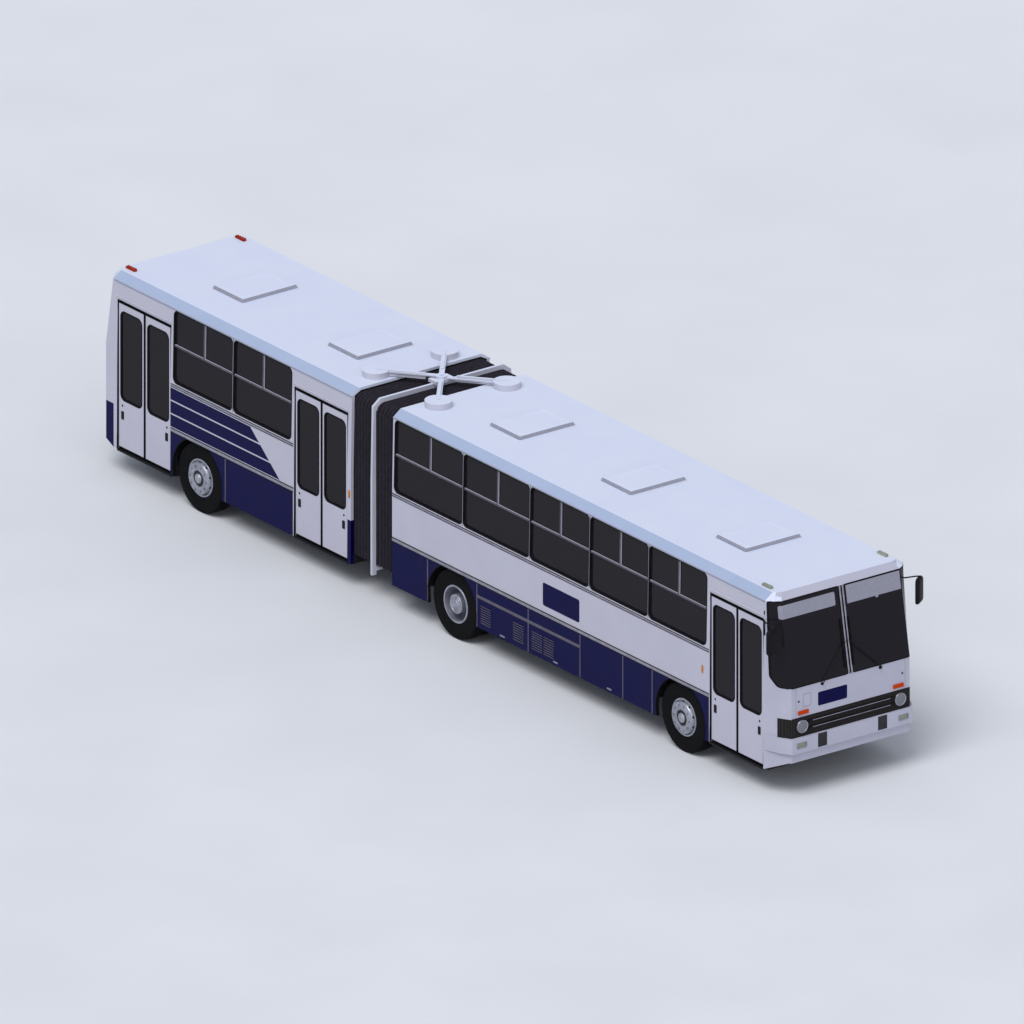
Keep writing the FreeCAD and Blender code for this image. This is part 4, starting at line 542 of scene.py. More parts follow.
def curve(knots, steps=6):
    """Points of a Catmull-Rom curve through the knots."""
    knots = np.array(knots, dtype=float)
    padded = np.concatenate([2 * knots[:1] - knots[1:2], knots, 2 * knots[-1:] - knots[-2:-1]])
    t = np.linspace(0, 1, steps, endpoint=False)[:, None]
    spans = [
        0.5 * (2 * b + (c - a) * t + (2 * a - 5 * b + 4 * c - d) * t ** 2
               + (3 * b - a - 3 * c + d) * t ** 3)
        for a, b, c, d in zip(padded, padded[1:], padded[2:], padded[3:])
    ]
    return np.concatenate(spans + [knots[-1:]])


def lathe(centre, side, profile, steps=48, closed=False):
    """Surface turned about a line along Y: (x, z) = centre + r (cos a, sin a), y = side * out."""
    profile = np.array(profile, dtype=float)
    angle = np.linspace(0, 2 * math.pi, steps, endpoint=False)
    radius, out = profile[:, :1], profile[:, 1:]
    points = np.stack([
        centre[0] + radius * np.cos(angle),
        centre[1] + side * out + 0 * angle,
        centre[2] + radius * np.sin(angle),
    ], axis=-1)
    return sheet(points, wrap=(closed, True), caps=not closed)


def turned_x(centre, profile, steps=40, closed=False):
    """Surface turned about a line along X: (y, z) = centre + r (cos a, sin a), x = its x + out."""
    profile = np.array(profile, dtype=float)
    angle = np.linspace(0, 2 * math.pi, steps, endpoint=False)
    radius, out = profile[:, :1], profile[:, 1:]
    points = np.stack([
        centre[0] + out + 0 * angle,
        centre[1] + radius * np.cos(angle),
        centre[2] + radius * np.sin(angle),
    ], axis=-1)
    return sheet(points, wrap=(closed, True), caps=not closed)


print("a curve through 3 knots has", len(curve([(0, 0, 0), (1, 0, 0), (1, 1, 0)])), "points")

# %% [markdown]
# ## Skins
#
# The side walls are upright to the waist and lean in above it.  The front is a faceted shell
# that leans back above the windscreen sill.  Doors are flat, just inside the walls.

# %% Main planes and skins
# Planes that the construction has are read from it.  The others are measured on it.
HALF_WIDTH = high("front_left_wall")[1]
SKIRT = low("front_right_wall")[2]
GUTTER = high("front_left_wall")[2]
HATCH = 0.060
ROOF = high("front_roof")[2] - HATCH
MASK_SIDE = high("front_right_wall")[0]
MASK_X = high("front_mask")[0]
MASK_CORNER = MASK_X - 0.164
TAIL_SIDE = low("rear_left_wall")[0]
TAIL_X = low("tail_panel")[0]
FRONT_END = low("front_left_wall")[0]
REAR_END = high("rear_left_wall")[0]
WAIST, WALL_LEAN, SILL = 1.819, 0.022, 1.705
MASK_FLAT, MASK_TURN = HALF_WIDTH - 0.199, HALF_WIDTH - 0.097
SCREEN_RAKE, CORNER_RAKE = 0.240, 0.137
FACET_BENDS = [MASK_FLAT - 0.01, MASK_FLAT + 0.01, MASK_TURN, MASK_TURN + 0.01]
FACET_ANGLES = [0, 58, 60, 68]
LEAF_FACE = HALF_WIDTH - 0.020
WINDOW_LOW, WINDOW_TOP, RAIL = 1.855, 2.978, 2.428
RUB_LOW, RUB_TOP = 1.068, 1.142
SECTION_OF = {"front": "front_section", "rear": "rear_section"}
HAND = {-1: "right", 1: "left"}


def side_skin(side):
    """Place on a side wall from (x, z): y = side * (half width - lean * share above the waist)."""
    def place(x, z, out):
        """Point of the wall at x and z, moved out from it."""
        share = np.clip((z - WAIST) / (GUTTER - WAIST), 0, 1)
        y = side * (HALF_WIDTH - WALL_LEAN * share + out)
        return np.stack(np.broadcast_arrays(x, y, z), axis=-1)
    return place


def front_skin(y, z, out):
    """Place on the front from (y, z): three facets in plan whose corners lean back with z."""
    lean = np.clip((z - SILL) / (GUTTER - SILL), 0, 1)
    across = np.abs(y)
    flat = MASK_X - SCREEN_RAKE * lean
    corner = MASK_CORNER - CORNER_RAKE * lean
    half = HALF_WIDTH - WALL_LEAN * lean
    first = np.clip((across - MASK_FLAT) / (MASK_TURN - MASK_FLAT), 0, 1)
    second = np.clip((across - MASK_TURN) / (half - MASK_TURN), 0, 1)
    x = flat + (corner - flat) * first + (MASK_SIDE - corner) * second
    turn = np.radians(np.interp(across, FACET_BENDS, FACET_ANGLES))
    y = y + np.sign(y) * out * np.sin(turn)
    return np.stack([x + out * np.cos(turn), y, z + 0 * x], axis=-1)


def leaf_skin(x, z, out):
    """Place on the outer face of a closed door leaf, on the right side of the bus."""
    return np.stack(np.broadcast_arrays(x, -(LEAF_FACE + out), z), axis=-1)


def roof_skin(x, y, out):
    """Place on the flat of the roof."""
    return np.stack(np.broadcast_arrays(x, y, ROOF + out), axis=-1)


print("skins between x", round(float(TAIL_X), 3), "and", round(float(MASK_X), 3))

# %% [markdown]
# ## Side windows
#
# Each pane sits in an extruded rubber moulding that laps over the edge of the opening.  A thin
# bar carries the sliding vents in its upper part.  The mouldings are carried round the
# opening's outline, and the bars are short strips with a round back.

# %% Side windows
# Panes as (back, front, upright), from the start of their row.
FRONT_ROW = [(0.046, 1.687, 0.884), (1.701, 3.298, 2.510), (3.308, 4.737, 4.022),
             (4.747, 6.156, 5.462), (6.166, 7.565, 6.873)]
REAR_ROW = [(0.063, 1.484, 0.787), (1.503, 2.906, 2.204)]
REAR_START = -6.493
PANES = []
for side in (-1, 1):
    PANES += [("front", side, *[FRONT_END + place for place in pane]) for pane in FRONT_ROW]
    PANES += [("rear", side, *[REAR_START + place for place in pane]) for pane in REAR_ROW]
PANES += [
    ("front", 1, MASK_SIDE - 1.300, MASK_SIDE - 0.060, MASK_SIDE - 0.680),
    ("rear", 1, TAIL_SIDE + 0.080, TAIL_SIDE + 1.415, TAIL_SIDE + 0.748),
    ("rear", 1, REAR_END - 1.420, REAR_END - 0.070, REAR_END - 0.745),
]
WINDOW_SEAL = [(-0.006, -0.002), (-0.006, 0.004), (0.002, 0.006), (0.012, 0.003),
               (0.016, -0.006), (0.016, -0.026), (-0.0005, -0.026), (-0.0005, -0.002)]


def panes_of(section, side):
    """Back, front and upright of every pane of one wall."""
    return [pane[2:] for pane in PANES if pane[:2] == (section, side)]


def window_seals(section, side):
    """Rubber moulding round every pane of one wall."""
    shapes = []
    for back, front, _ in panes_of(section, side):
        outline = rectangle(front - back, WINDOW_TOP - WINDOW_LOW, 0.090, 7)
        centre = ((front + back) / 2, (WINDOW_TOP + WINDOW_LOW) / 2)
        shapes.append(moulding(side_skin(side), centre, outline, WINDOW_SEAL))
    return shapes


def window_rails(section, side):
    """Vent bar and upright in front of every pane of one wall."""
    place = side_skin(side)
    rail, upright = hump(0.016, -0.012, -0.001), hump(0.014, -0.012, -0.003)
    shapes = []
    for back, front, bar_x in panes_of(section, side):
        shapes.append(bar(place, (back + 0.010, RAIL), (front - 0.010, RAIL), rail, 2))
        shapes.append(bar(place, (bar_x, RAIL), (bar_x, WINDOW_TOP - 0.010), upright, 2))
    return shapes


for section, riding in SECTION_OF.items():
    for side, hand in HAND.items():
        name = f"{section}_{hand}_window"
        piece(f"{name}_seals", window_seals(section, side), SEAL, riding)
        piece(f"{name}_rails", window_rails(section, side), FRAME_GREY, riding)
print("window panes framed:", len(PANES))

# %% [markdown]
# ## Windscreen
#
# The windscreen has two panes that bend round the corners.  A broad black rubber holds them,
# with a bright filler strip on either side of the middle post.

# %% Windscreen
SCREEN_LOW, SCREEN_TOP, SCREEN_POST = SILL + 0.004, GUTTER - 0.006, 0.050
SCREEN_EDGE, SCREEN_CUT, SCREEN_TURN = HALF_WIDTH - 0.093, 0.140, 0.050
SCREEN_ROUND = 0.040


def wrapped_panel(side, levels, reach, start, low_out, high_out):
    """Panel that follows the facets of the front: row i lies at levels[i] and runs from start
    out to reach[i], with points on both bends, and comes back behind by its thickness."""
    share = np.linspace(0, 1, 7)
    ends = [start + 0 * reach, np.minimum(reach, MASK_FLAT), np.minimum(reach, MASK_TURN), reach]
    spans = [a[:, None] + (b - a)[:, None] * share for a, b in zip(ends, ends[1:])]
    y = np.concatenate(spans, axis=1)
    z = np.broadcast_to(np.array(levels)[:, None], y.shape)
    face = front_skin(side * y, z, high_out)
    back = front_skin(side * y, z, low_out)
    return sheet(np.concatenate([face, back[:, ::-1]], axis=1))


def screen_outline(side):
    """One pane from the front: its lower outer corner is cut, and all corners are softened."""
    outer = SCREEN_EDGE + SCREEN_TURN
    corners = [(SCREEN_POST, SCREEN_LOW), (SCREEN_EDGE, SCREEN_LOW),
               (outer, SCREEN_LOW + SCREEN_CUT), (outer, SCREEN_TOP), (SCREEN_POST, SCREEN_TOP)]
    outline = divided(softened(corners, 0.030, 5), 0.050)
    return outline if side > 0 else (outline * [-1, 1])[::-1]


def screen_pane(side):
    """Pane of 3 mm: reach grows over the cut corner and shrinks by a round corner at the top."""
    bend = SCREEN_TOP - SCREEN_ROUND
    levels = np.concatenate([
        np.linspace(SCREEN_LOW, SCREEN_LOW + SCREEN_CUT, 6),
        np.linspace(SCREEN_LOW + SCREEN_CUT, bend, 12)[1:],
        bend + SCREEN_ROUND * np.sin(np.linspace(0, math.pi / 2, 5))[1:],
    ])
    reach = SCREEN_EDGE + SCREEN_TURN * np.clip((levels - SCREEN_LOW) / SCREEN_CUT, 0, 1)
    above = np.clip(levels - bend, 0, SCREEN_ROUND)
    reach = reach - SCREEN_ROUND + np.sqrt(SCREEN_ROUND ** 2 - above ** 2)
    return wrapped_panel(side, levels, reach, SCREEN_POST, 0.0012, 0.0042)


SCREEN_SEAL = [(-0.008, -0.001), (-0.008, 0.004), (-0.003, 0.007), (0.004, 0.007),
               (0.010, 0.0048), (0.010, 0.0043), (0.0005, 0.0043), (0.0005, -0.001)]
SCREEN_BORDER = [(0.001, 0.0002), (0.001, 0.0010), (0.085, 0.0010), (0.085, 0.0002)]
SCREEN_GLASS = safety_glass("windscreen_glass", "#1F1C21", 0.96)
panes, seals, borders = [], [], []
for side in (-1, 1):
    panes.append(screen_pane(side))
    seals.append(moulding(front_skin, (0, 0), screen_outline(side), SCREEN_SEAL))
    borders.append(moulding(front_skin, (0, 0), screen_outline(side), SCREEN_BORDER))
post = bar(front_skin, (0.0, SCREEN_LOW), (0.0, SCREEN_TOP), hump(0.096, -0.001, 0.004), 12)
filler = hump(0.030, 0.002, 0.012)
trims = [bar(front_skin, (y, SCREEN_LOW), (y, SCREEN_TOP), filler, 12) for y in (-0.027, 0.027)]
piece("windscreen_panes", panes, SCREEN_GLASS, "front_section")
piece("windscreen_borders", borders, PLASTIC, "front_section")
piece("windscreen_seals", [*seals, post], SEAL, "front_section")
piece("windscreen_trims", trims, ALUMINIUM, "front_section")
print("windscreen reaches y", round(float(SCREEN_EDGE + SCREEN_TURN), 3))

# %% [markdown]
# Behind the right pane is the destination box, and behind the left one the driver's sun
# blind.  The glass hides what is behind it, so both are thin frosted panels on the glass.

# %% Destination panel and sun blind
SIGN_GREY = rubber("frosted_sign_glass", "#92929E", "#8B8B96", 0.45, 0.02)
ON_GLASS = 0.0044
SIGN_MIDDLE, SIGN_HALF, SIGN_NEAR, SIGN_FAR, SIGN_ROUND = 2.835, 0.100, 0.130, 1.120, 0.025
levels = SIGN_MIDDLE + SIGN_HALF * np.sin(np.linspace(-math.pi / 2, math.pi / 2, 15))
above = np.clip(np.abs(levels - SIGN_MIDDLE) - (SIGN_HALF - SIGN_ROUND), 0, SIGN_ROUND)
corner = SIGN_ROUND - np.sqrt(SIGN_ROUND ** 2 - above ** 2)
panel = wrapped_panel(-1, levels, SIGN_FAR - corner, SIGN_NEAR + corner, ON_GLASS, 0.0070)
piece("destination_panel", panel, SIGN_GREY, "front_section")
BLIND_NEAR, BLIND_FAR, BLIND_LOW, BLIND_TOP = 0.080, 1.050, 2.712, SCREEN_TOP - 0.016
blind = [(BLIND_NEAR, BLIND_LOW), (BLIND_FAR, BLIND_LOW), (BLIND_FAR, BLIND_TOP),
         (BLIND_NEAR, BLIND_TOP)]
cloth = divided(softened(blind, 0.008, 3), 0.080)
grip = plate(front_skin, (0.610, 2.704), rectangle(0.050, 0.036, 0.012), ON_GLASS, 0.0090, 0.002)
blinds = [plate(front_skin, (0, 0), cloth, ON_GLASS, 0.0066, 0.001), grip]
piece("sun_blind", blinds, SIGN_GREY, "front_section")
print("destination panel:", round(SIGN_FAR - SIGN_NEAR, 3), "m wide")

# %% [markdown]
# ## Bellows
#
# The bellows is a coated fabric sewn into folds over light hoops.  Along the bus the outline
# moves in and out as a raised cosine, sharper outside where the fabric is clamped.  Each half
# runs from a section to the middle hoop.  The hoop turns on a joint of the front section, but
# both halves are built straight here and ride no body.  The rear half's last 60 mm at the hoop
# stay drawn in, which keeps more of it clear of the hoop when the bus bends.

# %% Bellows
BELLOWS_INSET, BELLOWS_LOW, FOLD, COLLAR = 0.066, 0.530, 0.052, 0.050
SHOULDER_HIGH, SHOULDER_DEEP, LEG_TURN = 0.110, 0.130, 0.022
CLOTH, BEND_Z = 0.008, 1.6


def bellows_outline(depth, count=16):
    """Inverted U, the right foot first: legs, round shoulders and a flat top, inset by depth."""
    half = HALF_WIDTH - BELLOWS_INSET - depth
    top = ROOF - BELLOWS_INSET - depth
    turn = np.linspace(0, math.pi / 2, count)
    foot = top - SHOULDER_HIGH
    leg = np.stack([np.full(count, half), np.linspace(BELLOWS_LOW, foot, count)], axis=1)
    shoulder = np.stack([
        half - LEG_TURN - SHOULDER_DEEP * (1 - np.cos(turn)),
        foot + SHOULDER_HIGH * np.sin(turn),
    ], axis=1)
    right = np.concatenate([leg, shoulder[1:]])
    return np.concatenate([right * [-1, 1], right[::-1]])


def bellows_half(back, front, collar=0.0, folds=6, steps=12):
    """Points (along, round): depth of a fold = FOLD * (1 - |cos(pi * folds * u)| ** 0.7), never
    less than collar over the last eighth, and the same outline further in by CLOTH on the way
    back, so that the fabric has a thickness."""
    u = np.linspace(0, 1, folds * steps + 1)
    depth = FOLD * (1 - np.abs(np.cos(math.pi * folds * u)) ** 0.7)
    depth = np.maximum(depth, collar * np.clip((u - 0.83) / 0.04, 0, 1))
    rows = []
    for place, inwards in zip(back + u * (front - back), depth):
        loop = np.concatenate([bellows_outline(inwards), bellows_outline(inwards + CLOTH)[::-1]])
        rows.append(np.column_stack([np.full(len(loop), place), loop]))
    return sheet(np.stack(rows))


# The hoop's node has the gangway floor too, so only its legs, far out, give its thickness.
LEG_Y = 1.15
leg_x = [vertex.co.x for vertex in NODES["hoop"].data.vertices if abs(vertex.co.y) > LEG_Y]
HOOP_BACK, HOOP_FRONT = min(leg_x), max(leg_x)
fabric = bellows_half(HOOP_FRONT + 0.001, FRONT_END - 0.002)
front_half = piece("front_bellows_fabric", fabric, BELLOWS, None, crease=50)
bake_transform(front_half)
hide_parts("front_bellows")
CLAMP_X = HOOP_BACK - 0.004
fabric = bellows_half(REAR_END + 0.002, CLAMP_X, COLLAR)
rear_half = piece("rear_bellows_fabric", fabric, BELLOWS, None, crease=50)
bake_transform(rear_half)
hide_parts("rear_bellows")
print("bellows:", len(front_half.data.polygons) + len(rear_half.data.polygons), "faces")

# %% [markdown]
# ## Tyres
#
# A city tyre has round shoulders, four grooves round the tread and short cuts across the
# shoulders.  The cross-section is a closed curve, and the grooves are subtracted from its
# radius, as the mould does.

# %% Tyres
TYRE_RADIUS = high("front_left_tyre")[2] / 2
TYRE_HALF = (high("front_left_tyre")[1] - low("front_left_tyre")[1]) / 2
BEAD, BEAD_OUT = 0.286, 0.100
TREAD_HALF, TREAD_DROP = 0.112, 0.004
ROUND_DEEP, ROUND_WIDE = 0.034, 0.020
WALL_TOP, WALL_OUT, WALL_BULGE, WALL_TUCK = TYRE_RADIUS - 0.038, 0.132, 0.003, 0.016
GROOVES, GROOVE_HALF, GROOVE_DEEP = (-0.072, -0.024, 0.024, 0.072), 0.005, 0.009
CUTS, CUT_SHARE, CUT_FROM, CUT_DEEP = 72, 0.3, 0.088, 0.006


def tyre_profile():
    """Closed section as (radius, out): bead, bulging wall, shoulder, tread and back again."""
    tread = np.linspace(-TREAD_HALF, TREAD_HALF, 57)
    crown = np.stack([TYRE_RADIUS - TREAD_DROP * (tread / TREAD_HALF) ** 2, tread], axis=1)
    turn = np.linspace(0.1, math.pi / 2, 6)
    shoulder = np.stack([
        TYRE_RADIUS - TREAD_DROP - ROUND_DEEP * (1 - np.cos(turn)),
        TREAD_HALF + ROUND_WIDE * np.sin(turn),
    ], axis=1)
    share = np.linspace(0, 1, 13)[1:]
    wall = np.stack([
        WALL_TOP - share * (WALL_TOP - BEAD - 0.006),
        WALL_OUT + WALL_BULGE * np.sin(math.pi * share) - WALL_TUCK * share ** 3,
    ], axis=1)
    right = np.concatenate([shoulder, wall, [[BEAD, BEAD_OUT]]])
    return np.concatenate([(right * [1, -1])[::-1], crown, right])


def tyre(centre, steps=288):
    """Tyre turned about its axle, less its depth in four grooves and in the shoulder cuts."""
    profile = tyre_profile()
    angle = np.linspace(0, 2 * math.pi, steps, endpoint=False)
    out = profile[:, 1:]
    on_tread = (profile[:, :1] > TYRE_RADIUS - 0.012).astype(float)
    grooves = np.zeros_like(out)
    for middle in GROOVES:
        grooves += GROOVE_DEEP * (np.abs(out - middle) < GROOVE_HALF)
    beat = np.mod(angle * CUTS / (2 * math.pi), 1)
    cuts = CUT_DEEP * (np.abs(out) > CUT_FROM) * (beat < CUT_SHARE)
    radius = profile[:, :1] - on_tread * np.maximum(grooves, cuts)
    points = np.stack([
        centre[0] + radius * np.cos(angle),
        centre[1] + out + 0 * radius * angle,
        centre[2] + radius * np.sin(angle),
    ], axis=-1)
    return sheet(points, wrap=(True, True), caps=False)


def middle_of(node):
    """Centre of a construction piece's box."""
    return (low(node) + high(node)) / 2


SINGLE_WHEELS = ("front_left", "front_right", "rear_left", "rear_right")
TWIN_WHEELS = ("middle_left", "middle_right")
twin_width = high("middle_left_tyres")[1] - low("middle_left_tyres")[1]
TWIN_SHIFT = twin_width / 2 - TYRE_HALF
for name in SINGLE_WHEELS:
    single = tyre(middle_of(f"{name}_tyre"))
    made = piece(f"{name}_moulded_tyre", single, TYRE, f"{name}_wheel", 30)
    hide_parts(f"{name}_tyre")
for name in TWIN_WHEELS:
    centre = middle_of(f"{name}_tyres")
    pair = [tyre(centre + np.array([0, shift, 0])) for shift in (-TWIN_SHIFT, TWIN_SHIFT)]
    made = piece(f"{name}_moulded_tyres", pair, TYRE, f"{name}_wheel", 30)
    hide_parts(f"{name}_tyres")
print("tyres: 8, radius", round(float(TYRE_RADIUS), 3))

# %% [markdown]
# ## Livery
#
# The bus is white with a navy skirt, and navy bands with thin white lines run over the rear
# section and end in a slant.  A signwriter masks such bands with tape, so their edges are
# sharp.  Here each band is a product of comparisons on the place of the point.

# %% Livery
SLANT_FOOT, SLANT = 1.154, 0.708 / 0.604


def inside(tree, value, low_end, high_end):
    """1 where low_end < value < high_end, else 0."""
    above = add(tree, "Math", operation="GREATER_THAN", links={0: value}, in1=low_end)
    below = add(tree, "Math", operation="LESS_THAN", links={0: value}, in1=high_end)
    return add(tree, "Math", operation="MULTIPLY", links={0: above, 1: below})


def banded(name, bands):
    """White enamel with navy bands: (x low, x high, z low, z high, slope), where the slope
    shears x by slope * (z - foot of the slanted edge)."""
    material = coach_enamel(name, *WALL_WHITES)
    tree = material.node_tree
    shader = tree.nodes["Principled BSDF"]
    white = shader.inputs["Base Color"].links[0].from_socket
    split = add(tree, "SeparateXYZ", links={"Vector": add(tree, "TexCoord").outputs["Object"]})
    total = None
    x, z = split.outputs["X"], split.outputs["Z"]
    for x_low, x_high, z_low, z_high, slope in bands:
        foot = add(tree, "Math", operation="SUBTRACT", links={0: z}, in1=SLANT_FOOT)
        sheared = add(tree, "Math", operation="MULTIPLY_ADD", links={0: foot, 2: x}, in1=slope)
        wide = inside(tree, sheared, -20.0, x_high)
        start = add(tree, "Math", operation="GREATER_THAN", links={0: x}, in1=x_low)
        tall = inside(tree, z, z_low, z_high)
        band = add(tree, "Math", operation="MULTIPLY", links={0: wide, 1: start})
        band = add(tree, "Math", operation="MULTIPLY", links={0: band, 1: tall})
        if total is None:
            total = band
        else:
            total = add(tree, "Math", operation="MAXIMUM", links={0: total, 1: band})
    navy = add(tree, "ValToRGB", links={"Fac": grain(tree, 0.4, 3.0).outputs["Fac"]})
    navy.color_ramp.elements[0].color = linear(NAVIES[1])
    navy.color_ramp.elements[1].color = linear(NAVIES[0])
    painted = add(tree, "Mix", data_type="RGBA", links={"Factor": total})
    tree.links.new(white, painted.inputs[6])
    tree.links.new(navy.outputs["Color"], painted.inputs[7])
    tree.links.new(painted.outputs[2], shader.inputs["Base Color"])
    return material


FRONT_DOORWAY, REAR_DOORWAY = 6.491, -6.493
MIDDLE_AFT, MIDDLE_FORE = -3.522, -2.232
STRIPES = [(1.154, 1.343), (1.365, 1.550), (1.572, 1.758)]
SLANTED = [(REAR_DOORWAY - 0.016, -3.864, foot, top, SLANT) for foot, top in STRIPES]
SKIRT_BAND = (SKIRT - 0.01, RUB_LOW, 0.0)
LIVERY = {
    "front_right_wall": [(-2, FRONT_DOORWAY - 0.014, *SKIRT_BAND)],
    "front_left_wall": [(-2, 9, *SKIRT_BAND)],
    "rear_right_wall": [(REAR_DOORWAY - 0.016, MIDDLE_AFT - 0.021, *SKIRT_BAND),
                        (MIDDLE_FORE - 0.018, 0, *SKIRT_BAND), *SLANTED],
    "rear_left_wall": [(-9, 0, *SKIRT_BAND), *SLANTED],
    "tail_panel": [(-9, 0, *SKIRT_BAND)],
}
for name, bands in LIVERY.items():
    NODES[name].data.materials[0] = banded(f"coach_livery_{name}", bands)
print("livery bands:", sum(len(bands) for bands in LIVERY.values()))

# %% [markdown]
# Some construction pieces hold two materials in one: a door leaf has its pane, a wall has its
# window bars, and some roof faces get a lighter or darker copy of the white as painted light
# and shade.  A test on the middle and the direction of each face picks the second material.

# %% Second materials
def repaint(name, material, test):
    """Give the faces of a construction piece that pass the test a further material.  The test
    gets the middles and the directions of all faces and answers with one truth value each."""
    mesh = NODES[name].data
    count = len(mesh.polygons)
    centres, normals = np.empty(count * 3), np.empty(count * 3)
    mesh.polygons.foreach_get("center", centres)
    mesh.polygons.foreach_get("normal", normals)
    index = np.empty(count, dtype=np.int32)
    mesh.polygons.foreach_get("material_index", index)
    mesh.materials.append(material)
    chosen = test(centres.reshape(-1, 3), normals.reshape(-1, 3))
    index[chosen] = len(mesh.materials) - 1
    mesh.polygons.foreach_set("material_index", index)


def on_leaf_pane(centre, normal):
    """Faces of the pane: close to the middle plane of the leaf."""
    off_middle = np.abs(centre[:, 1] + LEAF_FACE - 0.020)
    return (off_middle < 0.0045) & (np.abs(normal[:, 1]) > 0.9)


def on_window_bar(centre, normal):
    """Faces between the skin and the glass that look out or in, in the height of the windows."""
    share = np.clip((centre[:, 2] - WAIST) / (GUTTER - WAIST), 0, 1)
    depth = HALF_WIDTH - WALL_LEAN * share - np.abs(centre[:, 1])
    behind_skin = (depth > 0.004) & (depth < 0.030)
    return behind_skin & (np.abs(normal[:, 1]) > 0.9) & (centre[:, 2] > WINDOW_LOW)


def on_shaded_roof_shoulder(centre, normal):
    """Sloping faces between the wall and the flat of the roof, which get painted shade."""
    sloping = (np.abs(normal[:, 1]) > 0.3) & (normal[:, 2] > 0.2) & (np.abs(normal[:, 0]) < 0.1)
    return sloping & (centre[:, 2] < ROOF)


def on_shaded_roof_front(centre, normal):
    """Faces over the windscreen that look forwards, which get the darker front white as painted
    shade.
    """
    forwards = (normal[:, 0] > 0.3) & (np.abs(normal[:, 1]) < 0.3)
    return forwards & (centre[:, 0] > MASK_SIDE)


# The sloping shoulder gets a darker, bluer copy of the roof white: painted shade.
SHOULDER_PAINTED_SHADE = coach_enamel("coach_enamel_shoulder", "#A6B2CB", "#A2AFC9", 0.4, False)
HEADLAMP = lens("silvered_headlamp", "#85878D", "#66686E", 0.010, 0.2)
GRILLE_LEVEL, MARKER_LEVEL, FOG_LEVEL = 0.945, 2.5, 0.90
HEADLAMP_LOW, HEADLAMP_TOP = 0.95, 1.2
for name in [node for node in NODES if node.endswith("_leaf")]:
    repaint(name, GLASS, on_leaf_pane)
for name in ("front_left_wall", "front_right_wall", "rear_left_wall", "rear_right_wall"):
    repaint(name, FRAME_GREY, on_window_bar)
# Painted shade on the sloping shoulders of both roofs.
for name in ("front_roof", "rear_roof"):
    repaint(name, SHOULDER_PAINTED_SHADE, on_shaded_roof_shoulder)
# Painted shade: the forward faces of the roof over the windscreen get the darker front white.
repaint("front_roof", FRONT_WHITE_PAINTED_SHADE, on_shaded_roof_front)
repaint("front_lamps", CLEAR,
        lambda centre, normal: (centre[:, 2] > MARKER_LEVEL) | (centre[:, 2] < FOG_LEVEL))
repaint("front_lamps", HEADLAMP,
        lambda centre, normal: (centre[:, 2] > HEADLAMP_LOW) & (centre[:, 2] < HEADLAMP_TOP))
# Painted light: the upward tops of the roof links and the hoop get the lighter roof white.
for name in ("front_roof_link", "rear_roof_link", "hoop"):
    repaint(name, ROOF_WHITE_PAINTED_LIGHT, lambda centre, normal: (normal[:, 2] > 0.9) & (centre[:, 2] > GUTTER))
repaint("front_bumper", PLASTIC, lambda centre, normal: centre[:, 2] > GRILLE_LEVEL)
twofold = [node for node in NODES.values() if len(node.data.materials) > 1]
print("second materials on", len(twofold), "pieces")

# %% [markdown]
# ## Side trim
#
# An aluminium rail with two rubber beads runs along the waist, and a broader one along the
# lower edge of the white.  A rain gutter runs over the windows of each section.

# %% Side trim
RUNS = {
    ("front", -1): (FRONT_END + 0.004, FRONT_DOORWAY - 0.014),
    ("front", 1): (FRONT_END + 0.004, MASK_SIDE - 0.004),
    ("rear", -1): (REAR_DOORWAY + 0.010, MIDDLE_AFT - 0.014),
    ("rear", 1): (TAIL_SIDE + 0.004, REAR_END - 0.004),
}
WAIST_LINE, RUB_LINE = 1.8025, (RUB_LOW + RUB_TOP) / 2
# A rail as its height, its section, how far its beads are from its middle, and their section.
RAILS = [(WAIST_LINE, hump(0.046, -0.001, 0.005), 0.0185, hump(0.011, 0.000, 0.008)),
         (RUB_LINE, hump(0.072, -0.001, 0.007), 0.029, hump(0.014, 0.000, 0.010))]
for (section, side), (back, front) in RUNS.items():
    place, riding, name = side_skin(side), SECTION_OF[section], f"{section}_{HAND[side]}_trim"
    rails, beads = [], []
    for level, rail, shift, bead in RAILS:
        rails.append(bar(place, (back, level), (front, level), rail, 4))
        for height in (level - shift, level + shift):
            beads.append(bar(place, (back, height), (front, height), bead, 4))
    piece(f"{name}_rails", rails, ALUMINIUM, riding)
    piece(f"{name}_beads", beads, SEAL, riding)
GUTTER_LINE, gutter = GUTTER - 0.010, hump(0.020, -0.001, 0.010)
for section, back, front in (("front", FRONT_END, MASK_SIDE), ("rear", TAIL_SIDE, REAR_END)):
    gutters = [bar(side_skin(side), (back, GUTTER_LINE), (front, GUTTER_LINE), gutter, 4)
               for side in (-1, 1)]
    piece(f"{section}_rain_gutters", gutters, GREY_PLASTIC, SECTION_OF[section])
print("trim rails:", len(RAILS) * len(RUNS))

# %% [markdown]
# The skirt is made of separate panels, so that one can be opened or changed by itself.  Thin
# cover strips hide the joints, and one lies along the top of the engine's panels.

